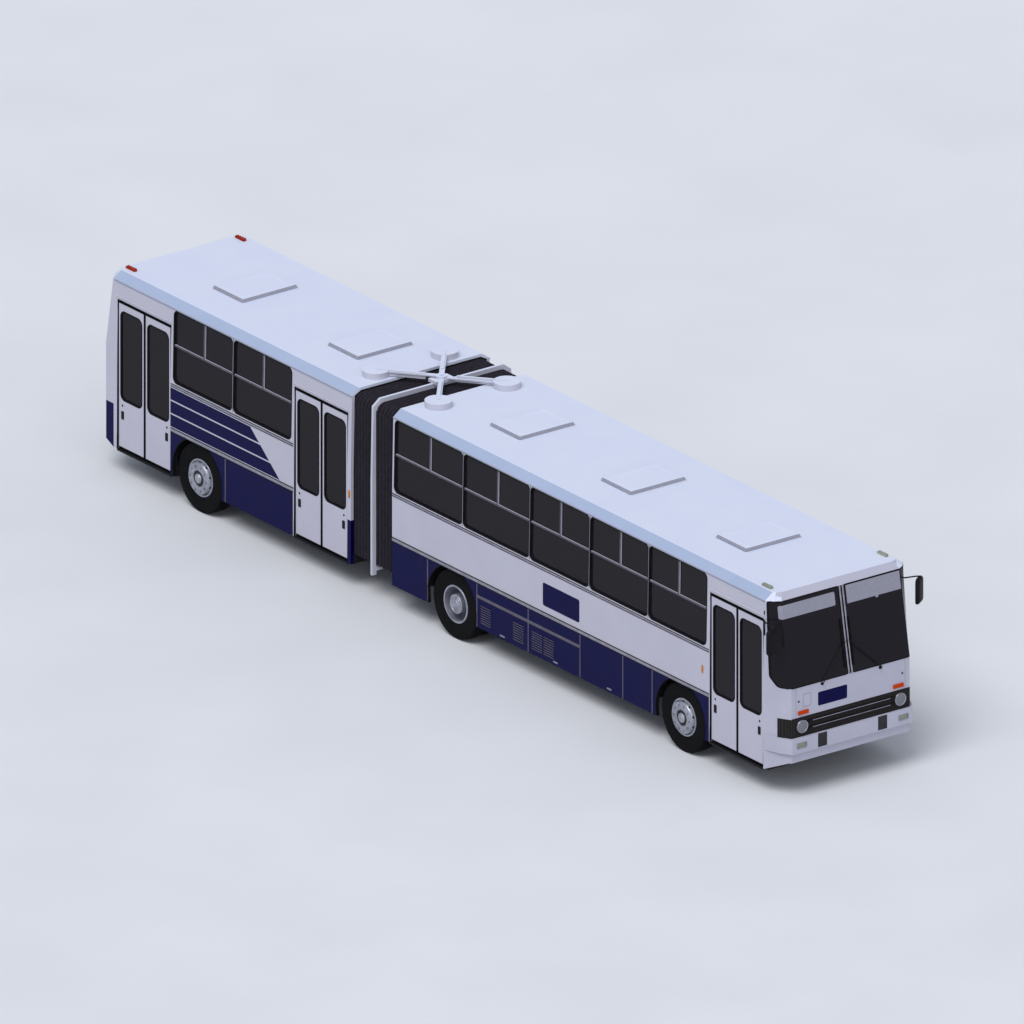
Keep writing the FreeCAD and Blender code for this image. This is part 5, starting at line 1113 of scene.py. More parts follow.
# %% Seam strips
SEAMS = {"front": [-0.300, 0.889, 2.124, 3.372, 4.403, 5.110], "rear": [-5.172]}
ENGINE_BACK, ENGINE_FRONT, ENGINE_LINE = 0.902, 3.360, 0.871
upright, level_strip = hump(0.022, -0.001, 0.004), hump(0.050, -0.001, 0.005)
for section, places in SEAMS.items():
    strips = []
    for side in (-1, 1):
        place = side_skin(side)
        strips += [bar(place, (x, SKIRT + 0.004), (x, RUB_LOW - 0.002), upright, 2)
                   for x in places]
        if section == "front":
            strips.append(bar(place, (ENGINE_BACK, ENGINE_LINE), (ENGINE_FRONT, ENGINE_LINE),
                              level_strip, 2))
    piece(f"{section}_seam_strips", strips, FRAME_GREY, SECTION_OF[section])
print("seam strips:", 2 * sum(len(places) for places in SEAMS.values()) + 2)

# %% [markdown]
# The engine lies under the floor between the axles, so the skirt there has vents.  A vent is a
# dark opening behind a row of tilted slats pressed out of the panel.  The panels open for
# service and have a small latch at their foot.

# %% Vents and latches
def slat(place, back, front, level):
    """Tilted slat: its section leans outwards and ends in a small lip."""
    lean = [(-0.007, 0.001), (0.004, 0.001), (0.008, 0.004), (0.006, 0.0075), (0.003, 0.0065)]
    return bar(place, (back, level), (front, level), lean, 1)


VENTS = [(0.988, 1.223), (1.765, 2.019), (2.216, 2.462), (2.499, 2.745)]
VENT_LOW, VENT_TOP, VENT_RIM, SLATS = 0.472, 0.760, 0.016, 8
LATCHES, LATCH_Z, LATCH_HIGH = [(1.444, 1.563), (2.726, 2.834), (4.020, 4.130)], 0.441, 0.026
slats, wells, latches = [], [], []
for side in (-1, 1):
    place = side_skin(side)
    for back, front in VENTS:
        middle = ((back + front) / 2, (VENT_LOW + VENT_TOP) / 2)
        tall = VENT_TOP - VENT_LOW + VENT_RIM
        outline = rectangle(front - back + VENT_RIM, tall, 0.010, 3)
        wells.append(plate(place, middle, outline, -0.001, 0.0014, 0.0008))
        levels = np.linspace(VENT_LOW + 0.012, VENT_TOP - 0.016, SLATS)
        slats += [slat(place, back, front, level) for level in levels]
    for back, front in LATCHES:
        outline = rectangle(front - back, LATCH_HIGH, 0.012)
        latches.append(plate(place, ((back + front) / 2, LATCH_Z), outline, -0.001, 0.005, 0.002))
piece("skirt_vent_wells", wells, NAVY, "front_section")
piece("skirt_vent_slats", slats, FRAME_GREY, "front_section")
piece("skirt_latches", latches, ALUMINIUM, "front_section")
print("slats:", len(slats), "latches:", len(latches))

# %% [markdown]
# A plate for the fleet's name is screwed on the right side, and stays bare here.  A narrow
# amber marker stands on each side of both sections.

# %% Bare plate and side markers
outline = rectangle(0.877, 0.353, 0.030)
bare = plate(side_skin(-1), (2.9175, 1.4175), outline, -0.001, 0.004, 0.0015)
piece("side_bare_plate", bare, NAVY, "front_section")
SIDE_MARKERS, MARKER_Z = {"front": 6.323, "rear": -2.187}, 1.4725
outline = rectangle(0.034, 0.119, 0.010)
for section, x in SIDE_MARKERS.items():
    markers = [plate(side_skin(side), (x, MARKER_Z), outline, -0.001, 0.012, 0.005)
               for side in (-1, 1)]
    piece(f"{section}_side_markers", markers, ORANGE, SECTION_OF[section])
print("side markers:", 2 * len(SIDE_MARKERS))

# %% [markdown]
# ## Wheel arches
#
# A rubber lip is pushed over the edge of each arch, and behind it a liner keeps the spray off
# the floor.  Both are an open arc from one foot of the arch over the top to the other.  The
# front arches have no liner, because the steered wheels need the room.


# %% Wheel arches
LIP = [(0.5895, -0.052), (0.5885, 0.002), (0.592, 0.005), (0.599, 0.004), (0.600, -0.001),
       (0.5915, -0.001)]
LINER_IN, LINER_OUT, LINER_EDGE, LINER_FOOT = 0.5655, 0.5695, -0.052, 0.640
# The tyres in an arch, the section it is in, and how deep its liner goes in.
ARCHES = {"front": ("front_left_tyre", "front", None),
          "middle": ("middle_left_tyres", "front", 0.64), "rear": ("rear_left_tyre", "rear", 0.36)}


def arch(centre, side, section, foot=SKIRT + 0.004, steps=48):
    """Arc about the axle: section (radius, out) swept over the angles above the skirt's foot."""
    section = np.array(section)
    begin = math.asin((foot - centre[2]) / section[:, 0].max())
    angle = np.linspace(begin, math.pi - begin, steps)[:, None]
    r, out = section[None, :, 0], section[None, :, 1]
    x, z = centre[0] + r * np.cos(angle), centre[2] + r * np.sin(angle)
    y = side * (HALF_WIDTH + out) + 0 * angle
    return sheet(np.stack(np.broadcast_arrays(x, y, z), axis=-1))


for name, (tyres, section, deep) in ARCHES.items():
    centre = middle_of(tyres)
    lips = [arch(centre, side, LIP) for side in (-1, 1)]
    piece(f"{name}_arch_lips", lips, SEAL, SECTION_OF[section])
    if deep:
        liner = [(LINER_IN, LINER_EDGE), (LINER_IN, -deep), (LINER_OUT, -deep),
                 (LINER_OUT, LINER_EDGE)]
        liners = [arch(centre, side, liner, foot=LINER_FOOT) for side in (-1, 1)]
        piece(f"{name}_arch_liners", liners, PLASTIC, SECTION_OF[section])
print("wheel arches:", 2 * len(ARCHES))

# %% [markdown]
# ## Doors
#
# Each leaf has a rubber all round that presses against the jamb, a broad finger-guard where
# the leaves meet, a glued window with its own rubber, a sunk pull and a lock.  All of it rides
# the leaf.

# %% Doors
DOORS = {"front": ("front_section", 7.136), "middle": ("rear_section", -2.877),
         "rear": ("rear_section", -7.138)}
LEAF_HALF, LEAF_LOW, LEAF_TOP = 0.310, 0.430, 2.680
DOOR_HALF, DOOR_LOW, DOOR_TOP = 0.645, 0.395, 2.716
PANE_HALF, PANE_LOW, PANE_TOP = 0.252, 1.181, 2.553
PULL_X, PULL_Z, LOCK_X, LOCK_Z, LOCK_RADIUS = 0.530, 0.940, 0.534, 1.088, 0.019
EDGE_SEAL = [(-0.003, -0.030), (-0.003, 0.001), (0.002, 0.0045), (0.010, 0.0035),
             (0.013, 0.0), (0.013, -0.0005), (0.0005, -0.0005), (0.0005, -0.030)]
PANE_SEAL = [(-0.014, -0.0005), (-0.014, 0.002), (-0.006, 0.005), (0.004, 0.004),
             (0.010, -0.003), (0.010, -0.016), (0.0005, -0.016), (0.0005, -0.0005)]
JAMB_SEAL = [(0.0005, 0.001), (-0.003, 0.002), (-0.004, 0.0), (0.0, -0.001),
             (0.0, -0.017), (0.008, -0.017), (0.009, -0.006), (0.005, 0.001)]
PULL_RIM = [(0, 0), (0, 0.006), (0.005, 0.006), (0.005, 0)]


def leaf_disc(x, z, radius, rise=0.006, steps=24):
    """Low dome on the leaf: r = radius * cos t, out = rise * sin t."""
    t = np.array([0.0, 0.35, 0.8, 1.2, 1.5])[:, None]
    angle = np.linspace(0, 2 * math.pi, steps, endpoint=False)[None, :]
    across, up = radius * np.cos(t) * np.cos(angle), radius * np.cos(t) * np.sin(angle)
    return leaf_skin(x + across, z + up, rise * np.sin(t) + 0 * angle)


def leaf_pieces(door, place, middle, hand):
    """Rubbers, pull and lock of one leaf; hand is +1 for the leaf on the front side."""
    body = f"{door}_door_{place}_leaf"
    x = middle + hand * DOOR_HALF / 2
    leaf = rectangle(2 * LEAF_HALF, LEAF_TOP - LEAF_LOW, 0.012, 3)
    pane = rectangle(2 * PANE_HALF, PANE_TOP - PANE_LOW, 0.090, 8)
    closing = x - hand * (LEAF_HALF + 0.0055)
    guard = hump(0.0105, -0.036, 0.006, 6)
    rubbers = [
        moulding(leaf_skin, (x, (LEAF_LOW + LEAF_TOP) / 2), leaf, EDGE_SEAL),
        moulding(leaf_skin, (x, (PANE_LOW + PANE_TOP) / 2), pane, PANE_SEAL),
        bar(leaf_skin, (closing, LEAF_LOW + 0.006), (closing, LEAF_TOP - 0.006), guard, 1),
    ]
    piece(f"{body}_rubbers", rubbers, SEAL, body)
    at = (middle + hand * PULL_X, PULL_Z)
    pull = plate(leaf_skin, at, rectangle(0.056, 0.118, 0.010), -0.0005, 0.004, 0.0015)
    hollow = moulding(leaf_skin, at, rectangle(0.062, 0.124, 0.012), PULL_RIM)
    piece(f"{body}_pull", [pull, hollow], PLASTIC, body)
    lock = sheet(leaf_disc(middle + hand * LOCK_X, LOCK_Z, LOCK_RADIUS))
    piece(f"{body}_lock", lock, STEEL_CAST, body)


for door, (section, middle) in DOORS.items():
    for place, hand in (("fore", 1), ("aft", -1)):
        leaf_pieces(door, place, middle, hand)
    outline = rectangle(2 * DOOR_HALF, DOOR_TOP - DOOR_LOW, 0.004, 2)
    jamb = moulding(side_skin(-1), (middle, (DOOR_TOP + DOOR_LOW) / 2), outline, JAMB_SEAL)
    reach, level = DOOR_HALF + 0.02, DOOR_TOP + 0.045
    drip = hump(0.022, -0.001, 0.012)
    header = bar(side_skin(-1), (middle - reach, level), (middle + reach, level), drip, 2)
    piece(f"{door}_door_jamb_seal", jamb, SEAL, section)
    piece(f"{door}_door_drip_rail", header, SIDE_WHITE, section)
print("doors dressed:", len(DOORS))

# %% [markdown]
# ## Window posts
#
# Between two panes stands a narrow steel post.  A painted cover strip hides the rubber of
# both panes, so from outside only a light grey line is seen.

# %% Window posts
POSTS = {"front": [FRONT_END + (a[1] + b[0]) / 2 for a, b in zip(FRONT_ROW, FRONT_ROW[1:])],
         "rear": [REAR_START + (REAR_ROW[0][1] + REAR_ROW[1][0]) / 2]}
POST_LOW, POST_TOP, post = WINDOW_LOW - 0.004, WINDOW_TOP + 0.004, hump(0.030, -0.020, 0.007)
for section, places in POSTS.items():
    strips = [bar(side_skin(side), (x, POST_LOW), (x, POST_TOP), post, 4)
              for side in (-1, 1) for x in places]
    piece(f"{section}_window_posts", strips, POST_GREY, SECTION_OF[section])
print("window posts:", sum(len(places) for places in POSTS.values()) * 2)

# %% [markdown]
# ## Grille and lamps of the front
#
# A black pressed grille runs from corner to corner and carries the round headlamps.  Its mesh
# is too fine to model hole by hole, so its material has the hollows as a bump, with painted
# shade that darkens each hollow.  Two bright strips lie on its bars.


# %% Grille band
def pressed_grille():
    """Black plastic with round hollows every 26 mm, by the distance to the nearest cell; each
    hollow has painted shade.
    """
    material, tree, shader = new_material("pressed_grille_black", IOR=1.5, Roughness=0.6,
                                          Specular_IOR_Level=0.08)
    place = add(tree, "TexCoord")
    cells = add(tree, "TexVoronoi", links={"Vector": place.outputs["Object"]},
                Scale=38.0, Randomness=0.1)
    # Painted shade: the colour darkens towards the middle of each cell, where the hollows are.
    ramp = add(tree, "ValToRGB", links={"Fac": cells.outputs["Distance"]})
    ramp.color_ramp.elements[0].position = 0.25
    ramp.color_ramp.elements[0].color = linear("#040405")
    ramp.color_ramp.elements[1].position = 0.55
    ramp.color_ramp.elements[1].color = linear("#302C2A")
    tree.links.new(ramp.outputs["Color"], shader.inputs["Base Color"])
    bump(tree, shader, cells.outputs["Distance"], 0.6, 0.004)
    return material


GRILLE = pressed_grille()
GRILLE_LOW, GRILLE_TOP, BAR_LEVELS, BAR_HALF = 0.938, 1.228, (1.047, 1.152), 0.700
levels = np.linspace(GRILLE_LOW, GRILLE_TOP, 7)
reach = np.full(7, MASK_TURN + 0.010)
band = [wrapped_panel(side, levels, reach, 0.0, -0.001, 0.005) for side in (-1, 1)]
piece("grille_band", band, GRILLE, "front_section")
bright, dark = hump(0.015, 0.018, 0.030), hump(0.012, -0.001, 0.008)
strips = [bar(front_skin, (-BAR_HALF, level), (BAR_HALF, level), bright, 2)
          for level in BAR_LEVELS]
piece("grille_strips", strips, ALUMINIUM, "front_section")
lips = [bar(front_skin, (-MASK_FLAT, level), (MASK_FLAT, level), dark, 2)
        for level in (GRILLE_LOW - 0.002, GRILLE_TOP + 0.002)]
piece("grille_lips", lips, PLASTIC, "front_section")
print("grille from z", GRILLE_LOW, "to", GRILLE_TOP)


# %% [markdown]
# Each headlamp has a bright ring and a domed glass, so the reflector behind it seems deep.
# The fog lamps in the bumper sit in narrow frames, and further in on each side a flat dark
# plate is painted shade where the bumper has a recess.


# %% Headlamps and fog lamps
def bumper_skin(y, z, out):
    """Place on the flat front of the bumper."""
    return np.stack(np.broadcast_arrays(high("front_bumper")[0] + out, y, z), axis=-1)


LAMP_Y, LAMP_Z, LAMP_R, DOME_RISE = 0.885, 1.095, 0.082, 0.022
FOG_Y, FOG_Z, RECESS_Y, RECESS_Z = 0.917, 0.822, 0.542, 0.824
BEZEL = [(0.102, 0.002), (0.103, 0.022), (0.098, 0.032), (0.088, 0.035), (0.080, 0.030),
         (0.080, 0.002)]
FOG_RIM = [(0, -0.001), (0, 0.006), (0.004, 0.009), (0.012, 0.009), (0.012, -0.001)]
dome_r = LAMP_R * np.cos(np.linspace(0.05, math.pi / 2 - 0.06, 9))
dome = np.stack([dome_r, 0.030 + DOME_RISE * (1 - (dome_r / LAMP_R) ** 2)], axis=1)
dome = np.concatenate([[[LAMP_R - 0.001, 0.026]], dome])
fog, recess = rectangle(0.186, 0.096, 0.014), rectangle(0.163, 0.212, 0.008)
bezels, domes, frames, recesses = [], [], [], []
for side in (-1, 1):
    centre = (MASK_X, side * LAMP_Y, LAMP_Z)
    bezels.append(turned_x(centre, BEZEL, 48, True))
    domes.append(turned_x(centre, dome))
    frames.append(moulding(bumper_skin, (side * FOG_Y, FOG_Z), fog, FOG_RIM))
    # Painted shade: a flat dark plate stands where the bumper has a recess.
    hole = plate(bumper_skin, (side * RECESS_Y, RECESS_Z), recess, -0.001, 0.002, 0.001)
    recesses.append(hole)
piece("headlamp_bezels", bezels, ALUMINIUM, "front_section")
piece("headlamp_glasses", domes, LAMP_GLASS, "front_section")
piece("fog_lamp_frames", frames, GREY_PLASTIC, "front_section")
piece("bumper_recess_shade_plates", recesses, STEEL_CAST, "front_section")
print("headlamps and fog lamps:", len(domes) + len(frames))

# %% [markdown]
# The panel under the windscreen opens for the wiper motor and the washer bottle: a small
# flap, two seams with their locks, and a bare navy plate where a fleet would put its name.


# %% Front panel
def knob(radius, base, rise, foot):
    """Profile of a low button: r = radius * cos t, out = base + rise * sin t, on a foot."""
    turn = np.array([0.0, 0.4, 0.9, 1.3])
    button = np.stack([radius * np.cos(turn), base + rise * np.sin(turn)], axis=1)
    return np.concatenate([[[foot, -0.002]], button])


SEAM_Y, PANEL_LOCK_Y, PANEL_LOCK_Z = 0.985, 0.935, 1.483
GROOVE = [(0.0, -0.001), (0.0, 0.0022), (0.005, 0.0022), (0.005, -0.001)]
outline = rectangle(0.524, 0.210, 0.022)
bare = plate(front_skin, (-0.325, 1.443), outline, -0.001, 0.004, 0.0015)
piece("front_bare_plate", bare, NAVY, "front_section")
flap = moulding(front_skin, (-0.786, PANEL_LOCK_Z), rectangle(0.145, 0.200, 0.022), GROOVE)
seam, seams, locks = hump(0.006, -0.001, 0.002), [], []
for side in (-1, 1):
    foot, head = (side * SEAM_Y, GRILLE_TOP + 0.020), (side * SEAM_Y, SILL - 0.012)
    seams.append(bar(front_skin, foot, head, seam, 2))
    centre = (MASK_X, side * PANEL_LOCK_Y, PANEL_LOCK_Z)
    locks.append(turned_x(centre, knob(0.017, 0.0, 0.008, 0.017), 20))
piece("front_panel_seams", [flap, *seams], POST_GREY, "front_section")
piece("front_panel_locks", locks, STEEL_CAST, "front_section")
print("front panel:", len(seams), "seams,", len(locks), "locks")

# %% [markdown]
# ## Wipers
#
# Two wipers park upright beside the middle post.  A bent arm reaches from a spindle below the
# glass to the middle of the blade, which is a steel back with a rubber edge.

# %% Wipers
# Each wiper as the y of its spindle and the y at which it is parked.
WIPERS = ((-0.515, -0.090), (0.533, 0.062))
SPINDLE_Z = 1.668
back, edge = hump(0.018, 0.022, 0.034), hump(0.007, 0.006, 0.024)
arms, blades = [], []
for spindle, parked in WIPERS:
    elbow = spindle + 0.06 * (parked - spindle)
    along = curve([(spindle, SPINDLE_Z, 0.012), (spindle, 1.690, 0.034), (elbow, 1.722, 0.040),
                   (parked, 2.150, 0.044), (parked, 2.175, 0.032)], 8)
    arms.append(tube(front_skin(*along.T), 0.0075, 8))
    arms.append(turned_x((MASK_X, spindle, SPINDLE_Z), knob(0.022, 0.016, 0.010, 0.024), 20))
    blades.append(bar(front_skin, (parked, 1.820), (parked, 2.520), back, 8))
    blades.append(bar(front_skin, (parked, 1.815), (parked, 2.525), edge, 8))
piece("wiper_arms", arms, CHASSIS, "front_section")
piece("wiper_blades", blades, SEAL, "front_section")
print("wipers:", len(WIPERS))

# %% [markdown]
# ## Mirrors
#
# Each mirror hangs from a thin bent tube.  Its shell is a deep-drawn plastic cup with round
# corners, and the left one is turned in further, because the driver sits close to it.


# %% Mirrors
def turned_skin(centre, yaw):
    """Place in the plane of a mirror: across it, up, and forwards, turned by yaw about Z."""
    def place(across, up, out):
        """Point across and up in the mirror's plane, moved forwards."""
        across, up, out = np.broadcast_arrays(across, up, out)
        return np.stack([
            centre[0] + out * math.cos(yaw) - across * math.sin(yaw),
            centre[1] + out * math.sin(yaw) + across * math.cos(yaw),
            centre[2] + up,
        ], axis=-1)
    return place


def mirror_shell(place, width, height):
    """Cup: outlines of one round-cornered rectangle, inset more towards its round back."""
    outline = rectangle(width, height, 0.060, 6)
    rows = [(inset(outline, depth), out) for depth, out in MIRROR_CUP]
    return sheet(raised(place, (0, 0), rows))


MIRROR_CUP = [(0.008, -0.026), (0.0, -0.029), (0.0, -0.010), (0.006, 0.006), (0.018, 0.018),
              (0.038, 0.026)]
# Side, x and z of the middle, turn in radians, and y and z of the arm's foot on the mask.
MIRRORS = ((-1, 8.148, 2.490, 0.06, 1.252, 2.690), (1, 8.075, 2.635, 0.60, 1.215, 2.785))
MIRROR_Y, MIRROR_WIDTH, MIRROR_HEIGHT, MIRROR_RIM = 1.345, 0.245, 0.400, 0.020
shells, faces = [], []
for side, ahead, level, yaw, root, root_level in MIRRORS:
    place = turned_skin((ahead, side * MIRROR_Y, level), yaw)
    shells.append(mirror_shell(place, MIRROR_WIDTH, MIRROR_HEIGHT))
    glass = rectangle(MIRROR_WIDTH - MIRROR_RIM, MIRROR_HEIGHT - MIRROR_RIM, 0.052, 6)
    faces.append(plate(place, (0, 0), glass, -0.0285, -0.0265, 0.0005))
    top = level + MIRROR_HEIGHT / 2
    foot = front_skin(np.array([side * root]), np.array([root_level]), np.array([-0.010]))[0]
    knots = [foot, foot + [0.030, side * 0.040, 0.004],
             (ahead - 0.030, side * (MIRROR_Y - 0.030), top + 0.014),
             (ahead, side * MIRROR_Y, top + 0.004), (ahead, side * MIRROR_Y, top - 0.030)]
    shells.append(tube(curve(knots, 8), 0.011, 10))
BRACKET_Y, bracket = -1.254, hump(0.016, -0.002, 0.014)
brackets = [bar(front_skin, (BRACKET_Y, foot), (BRACKET_Y, head), bracket, 2)
            for foot, head in ((2.470, 2.700), (2.790, 2.850))]
piece("mirror_brackets", brackets, CHASSIS, "front_section")
made = piece("mirror_shells", shells, PLASTIC, "front_section", 40)
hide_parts("mirrors")
piece("mirror_glasses", faces, CHROME, "front_section")
print("mirrors: 2")

# %% [markdown]
# ## Wheels
#
# The single wheels have a disc that bulges outwards past the rim, with a ring of nuts and a
# cap over the bearing.  The twin wheels are turned the other way, so a long drum of the drive
# hub stands in the dish.  All of it is turned about the axle.

# %% Wheels
# Profiles as (radius, out from the wheel's middle plane).
DISC = [(0.262, 0.060), (0.254, 0.120), (0.243, 0.158), (0.232, 0.168), (0.216, 0.171),
        (0.135, 0.171), (0.124, 0.166), (0.118, 0.150), (0.118, 0.060)]
WELL = [(0.119, 0.140), (0.119, 0.152), (0.072, 0.152), (0.072, 0.140)]
CAP = [(0.074, 0.140), (0.074, 0.168), (0.068, 0.176), (0.050, 0.179), (0.046, 0.184),
       (0.020, 0.187)]
FLANGE = [(0.262, 0.092), (0.280, 0.098), (0.286, 0.106), (0.289, 0.116), (0.285, 0.121),
          (0.280, 0.117), (0.274, 0.104), (0.262, 0.098)]
DRUM = [(0.147, 0.180), (0.147, 0.272), (0.141, 0.280), (0.122, 0.282), (0.118, 0.276),
        (0.108, 0.276), (0.104, 0.282), (0.064, 0.284), (0.060, 0.290), (0.040, 0.293),
        (0.036, 0.287), (0.012, 0.287)]
HOLE_OUT, HOLE_HALF, HOLE_TURN = 0.126, 0.021, 0.085


def nuts(centre, side, ring, out, count, radius=0.015, height=0.020):
    """Ring of six-sided nuts, each a short frustum with a bevelled crown."""
    top = out + height
    crown = [(radius, out), (radius, out + height * 0.8), (radius * 0.78, top), (0.002, top)]
    shapes = []
    for share in np.arange(count) / count:
        angle = 2 * math.pi * share
        step = np.array([ring * math.cos(angle), 0.0, ring * math.sin(angle)])
        shapes.append(lathe(centre + step, side, crown, 6))
    return shapes


def hand_hole_shades(centre, side, count=10):
    """Painted shade for hand holes in the disc's flank: flat dark ovals whose radius falls as they
    go out.
    """
    flank_out, flank_radius = [0.060, 0.120, 0.158], [0.262, 0.254, 0.243]
    angle = np.linspace(0, 2 * math.pi, 16, endpoint=False)
    shapes = []
    for share in np.arange(count) / count:
        rows = []
        for scale, rise in ((1.0, -0.002), (1.0, 0.0015), (0.8, 0.0025)):
            out = HOLE_OUT + HOLE_HALF * scale * np.sin(angle)
            theta = 2 * math.pi * (share + 0.05) + HOLE_TURN * scale * np.cos(angle)
            radius = np.interp(out, flank_out, flank_radius) + rise
            x, z = centre[0] + radius * np.cos(theta), centre[2] + radius * np.sin(theta)
            rows.append(np.stack([x, centre[1] + side * out, z], axis=-1))
        shapes.append(sheet(np.stack(rows)))
    return shapes


for name in SINGLE_WHEELS:
    centre, side, body = middle_of(f"{name}_tyre"), (1 if "left" in name else -1), f"{name}_wheel"
    disc = [lathe(centre, side, DISC, 64, True), lathe(centre, side, FLANGE, 64, True),
            lathe(centre, side, CAP, 40)]
    # A dark ring lies in the well round the cap, and dark ovals are painted shade where the hand
    # holes are.
    dark = [lathe(centre, side, WELL, 48, True), *hand_hole_shades(centre, side)]
    ring = nuts(centre, side, 0.190, 0.170, 10)
    piece(f"{name}_wheel_disc", disc, WHEEL_SILVER, body)
    piece(f"{name}_wheel_nuts", ring, ALUMINIUM, body)
    piece(f"{name}_wheel_well_and_hole_shades", dark, STEEL_CAST, body)
outer_flange = [(radius, out + TWIN_SHIFT) for radius, out in FLANGE]
for name in TWIN_WHEELS:
    centre, side, body = middle_of(f"{name}_tyres"), (1 if "left" in name else -1), f"{name}_wheel"
    hub = [lathe(centre, side, DRUM, 64), lathe(centre, side, outer_flange, 64, True)]
    ring = nuts(centre, side, 0.088, 0.281, 8, 0.009, 0.012)
    piece(f"{name}_wheel_hub", hub, WHEEL_SILVER, body)
    piece(f"{name}_wheel_nuts", ring, ALUMINIUM, body)
print("wheels dressed:", len(SINGLE_WHEELS) + len(TWIN_WHEELS))

# %% [markdown]
# ## Roof
#
# Each hatch sits on a painted flange, and its lid has a pressed rib.  The marker lamps at the
# corners have fluted lenses.

# %% Roof
HATCHES = {"front": [FRONT_END + 2.061, FRONT_END + 4.735, FRONT_END + 7.507],
           "rear": [REAR_END - 0.847, TAIL_SIDE + 2.092]}
HATCH_LONG, HATCH_HALF, RIB_IN = 0.736, 0.505, 0.160
HATCH_FLANGE = [(-0.014, -0.001), (-0.014, 0.010), (-0.004, 0.014), (0.002, 0.010),
                (0.002, -0.001)]
HATCH_RIB = [(0.0, HATCH - 0.001), (0.004, HATCH + 0.004), (0.026, HATCH + 0.004),
             (0.030, HATCH - 0.001)]
lid = rectangle(HATCH_LONG, 2 * HATCH_HALF, 0.030)
rib = rectangle(HATCH_LONG - RIB_IN, 2 * HATCH_HALF - RIB_IN, 0.060)


def on_hatch_edge(centre, normal):
    """Upright faces of a hatch: above the roof and not far from its middle line."""
    upright = (centre[:, 2] > ROOF + 0.005) & (np.abs(normal[:, 2]) < 0.5)
    return upright & (np.abs(centre[:, 1]) < HATCH_HALF + 0.05)


for section, fronts in HATCHES.items():
    riding = SECTION_OF[section]
    middles = [(front - HATCH_LONG / 2, 0.0) for front in fronts]
    flanges = [moulding(roof_skin, middle, lid, HATCH_FLANGE) for middle in middles]
    ribs = [moulding(roof_skin, middle, rib, HATCH_RIB) for middle in middles]
    # The flanges and ribs take the lighter roof white, painted light as on the roof.
    piece(f"{section}_hatch_flanges", flanges, ROOF_WHITE_PAINTED_LIGHT, riding)
    piece(f"{section}_hatch_ribs", ribs, ROOF_WHITE_PAINTED_LIGHT, riding)
    # The upright sides of each hatch are painted grey, darker than its top.
    repaint(f"{section}_roof", GREY_PLASTIC, on_hatch_edge)
MARKERS = {"front": (7.505, 1.040, CLEAR), "rear": (-7.885, 0.986, RED)}
FLUTE_STEP, FLUTE_HALF, flute = 0.050, 0.026, hump(0.048, -0.001, 0.041)
for section, (first, across, material) in MARKERS.items():
    flutes = []
    for y in (-across, across):
        for x in first + FLUTE_STEP * np.arange(4):
            flutes.append(bar(roof_skin, (x, y - FLUTE_HALF), (x, y + FLUTE_HALF), flute, 1))
    piece(f"{section}_marker_flutes", flutes, material, SECTION_OF[section])
print("roof hatches:", sum(len(fronts) for fronts in HATCHES.values()))

# %% [markdown]
# ## Tail
#
# The tail is upright to the waist and leans forward above it.  Its window sits in the same
# rubber as the others, and each lamp has a dark frame with two ribs across its lens.


# %% Tail
TAIL_WAIST, TAIL_RAKE = 1.969, 0.173
tail_mesh = NODES["tail_panel"].data
flats = [face for face in tail_mesh.polygons
         if face.normal.x < -0.98 and face.center.z < TAIL_WAIST]
corners = np.array([tail_mesh.vertices[index].co[:] for face in flats for index in face.vertices])
TAIL_FLAT = float(np.abs(corners[:, 1]).max())
print("tail is flat to y", round(TAIL_FLAT, 3))


def back_skin(y, z, out):
    """Place on the tail from (y, z): upright, then leaning forwards with the height."""
    lean = np.clip((z - TAIL_WAIST) / (ROOF - TAIL_WAIST), 0, 1)
    return np.stack(np.broadcast_arrays(TAIL_X + TAIL_RAKE * lean - out, y, z), axis=-1)


TAIL_SEAL = [(-0.016, -0.002), (-0.016, 0.003), (-0.006, 0.007), (0.006, 0.005),
             (0.014, -0.004), (0.014, -0.016), (0.0005, -0.016), (0.0005, -0.002)]
TAIL_PANE_Z, LAMP_MIDDLE_Y, LAMP_MIDDLE_Z, LAMP_SPLIT = 2.390, 0.850, 0.795, 0.073
window = divided(rectangle(1.800, 0.762, 0.100, 7), 0.2)
seal = moulding(back_skin, (0, TAIL_PANE_Z), window, TAIL_SEAL)
piece("tail_window_seal", seal, SEAL, "rear_section")
lamp_out = TAIL_X - low("rear_lamps")[0]
LAMP_RIM = [(0, -0.001), (0, lamp_out * 0.8), (0.004, lamp_out + 0.002),
            (0.014, lamp_out + 0.002), (0.014, -0.001)]
lamp, rib = rectangle(0.470, 0.300, 0.020), hump(0.008, lamp_out - 0.004, lamp_out + 0.004)
frames, ribs = [], []
for middle in (-LAMP_MIDDLE_Y, LAMP_MIDDLE_Y):
    frames.append(moulding(back_skin, (middle, LAMP_MIDDLE_Z), lamp, LAMP_RIM))
    for y in (middle - LAMP_SPLIT, middle + LAMP_SPLIT):
        ribs.append(bar(back_skin, (y, 0.664), (y, 0.926), rib, 1))
piece("tail_lamp_frames", frames + ribs, PLASTIC, "rear_section")
WINKER_Y = 0.925
repaint("rear_lamps", AMBER,
        lambda centre, normal: (centre[:, 2] < 2) & (np.abs(centre[:, 1]) > WINKER_Y))
print("tail dressed, lamps stand out", round(float(lamp_out), 3))

# %% [markdown]
# Rubber strips run across the tail, a few louvres air the space behind it, and a wiper parks
# upright on the window.  All of them are short strips on the skin of the tail.

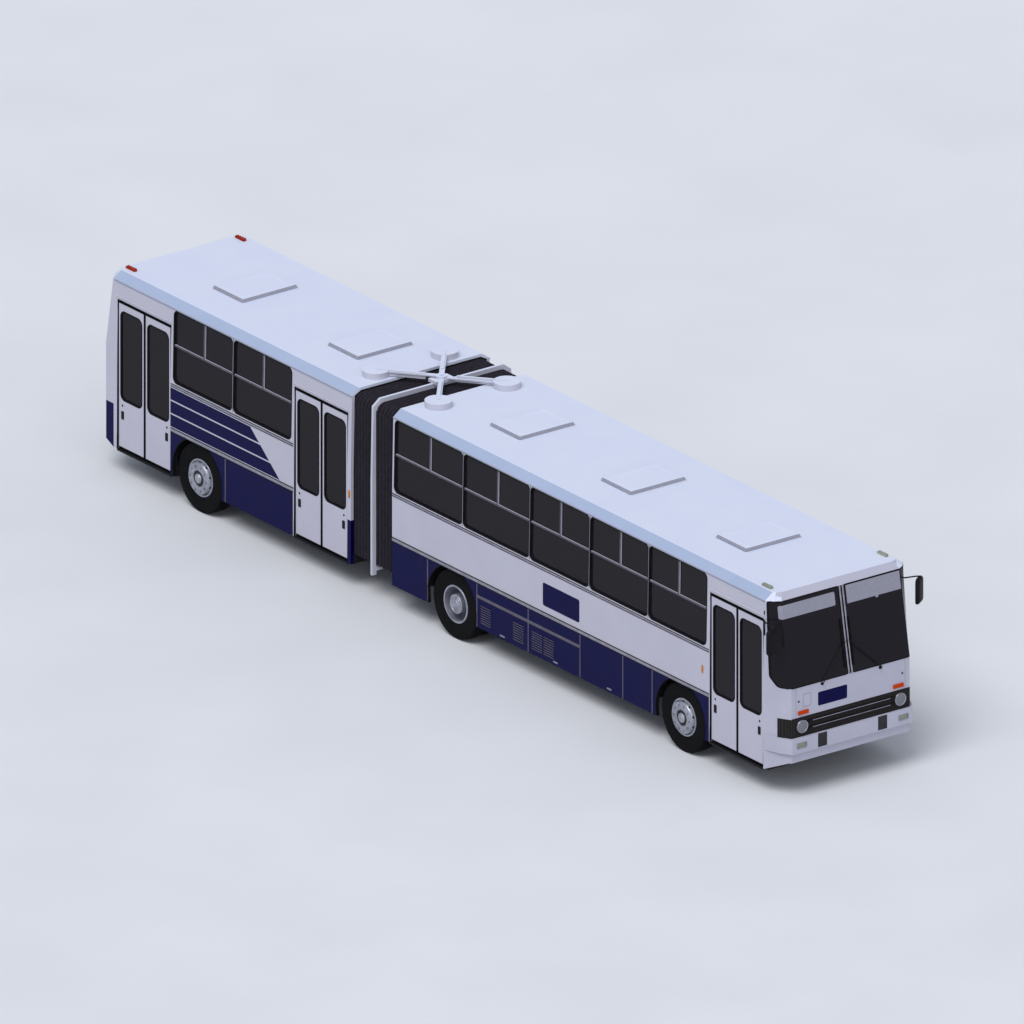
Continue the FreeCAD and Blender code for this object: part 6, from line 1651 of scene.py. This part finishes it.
# %% Strips, louvres and wiper of the tail
rubber_strip, louvre = hump(0.060, -0.001, 0.014), hump(0.020, -0.001, 0.010)
strips = [bar(back_skin, (-TAIL_FLAT, level), (TAIL_FLAT, level), rubber_strip, 2)
          for level in (0.520, 1.105)]
piece("tail_rub_strips", strips, SEAL, "rear_section")
LOUVRE_HALF, LOUVRE_LEVELS = 0.420, np.linspace(1.240, 1.500, 7)
louvres = [bar(back_skin, (-LOUVRE_HALF, level), (LOUVRE_HALF, level), louvre, 1)
           for level in LOUVRE_LEVELS]
piece("tail_louvres", louvres, FRAME_GREY, "rear_section")
along = curve([(0.330, 1.965, 0.010), (0.330, 1.990, 0.030), (0.060, 2.180, 0.030),
               (0.040, 2.200, 0.018)], 6)
wiper = [tube(back_skin(*along.T), 0.007, 8),
         bar(back_skin, (0.040, 2.060), (0.040, 2.520), hump(0.014, 0.004, 0.022), 4)]
piece("tail_wiper", wiper, CHASSIS, "rear_section")
print("tail louvres:", len(louvres))

# %% [markdown]
# ## Handrails
#
# Two steel tubes run under the ceiling on either side of the aisle, held by short droppers.
# They are powder-coated in a warm yellow, which is easy to see in a dark bus.

# %% Handrails
RAIL_Y, RAIL_Z, CEILING_Z = 0.420, 2.820, 2.820 + 0.180
RAIL_ENDS = {"front": (FRONT_END + 0.350, MASK_SIDE - 1.500),
             "rear": (TAIL_SIDE + 0.500, REAR_END - 0.350)}
for section, (back, front) in RAIL_ENDS.items():
    tubes = []
    for y in (-RAIL_Y, RAIL_Y):
        knots = [(back, y, CEILING_Z), (back + 0.010, y, RAIL_Z + 0.040),
                 (back + 0.060, y, RAIL_Z), (front - 0.060, y, RAIL_Z),
                 (front - 0.010, y, RAIL_Z + 0.040), (front, y, CEILING_Z)]
        tubes.append(tube(curve(knots, 8), 0.016, 12))
        for x in np.linspace(back, front, 6)[1:-1]:
            tubes.append(tube([(x, y, RAIL_Z), (x, y, CEILING_Z)], 0.011, 10))
    piece(f"{section}_handrails", tubes, RAIL_YELLOW, SECTION_OF[section])
print("handrails:", 2 * len(RAIL_ENDS))

# %% [markdown]
# ## Floor and light
#
# A wide pale floor, a broad soft sun high on the right, a weak one low in front and an even
# pale sky.  Wide suns give soft shadows, as an overcast day does.

# %% Studio
# Each sun as its name, the way towards it, its strength, and how many degrees wide it looks.
SUNS = (("key_sun", (0.35, -0.75, 1.35), 1.75, 35), ("fill_sun", (1.0, -0.25, 0.35), 0.55, 60))


def studio():
    """A floor plane with a faint cast-concrete drift, a soft sun and a pale world."""
    half = 150.0
    corners = [(-half, -half, 0), (half, -half, 0), (half, half, 0), (-half, half, 0)]
    mesh = bpy.data.meshes.new("floor")
    mesh.from_pydata(corners, [], [(0, 1, 2, 3)])
    ground = bpy.data.objects.new("floor", mesh)
    bpy.context.scene.collection.objects.link(ground)
    material, tree, shader = new_material("pale_studio_floor", Roughness=0.9)
    vary(tree, shader, grain(tree, 3.0, 2.0), "#D9DADD", "#DDDEE1")
    mesh.materials.append(material)
    for name, direction, strength, spread in SUNS:
        lamp = bpy.data.objects.new(name, bpy.data.lights.new(name, "SUN"))
        lamp.data.energy = strength
        lamp.data.angle = math.radians(spread)
        lamp.rotation_euler = Vector(direction).to_track_quat("Z", "Y").to_euler()
        bpy.context.scene.collection.objects.link(lamp)
    world = bpy.data.worlds.new("studio_world")
    bpy.context.scene.world = world
    world.use_nodes = True
    world.node_tree.nodes.clear()
    sky = add(world.node_tree, "Background", Strength=0.62)
    sky.inputs["Color"].default_value = linear("#DCE4F4")
    add(world.node_tree, "OutputWorld", links={"Surface": sky})


studio()
bpy.context.scene.view_settings.view_transform = "Standard"
print("suns:", len(SUNS))
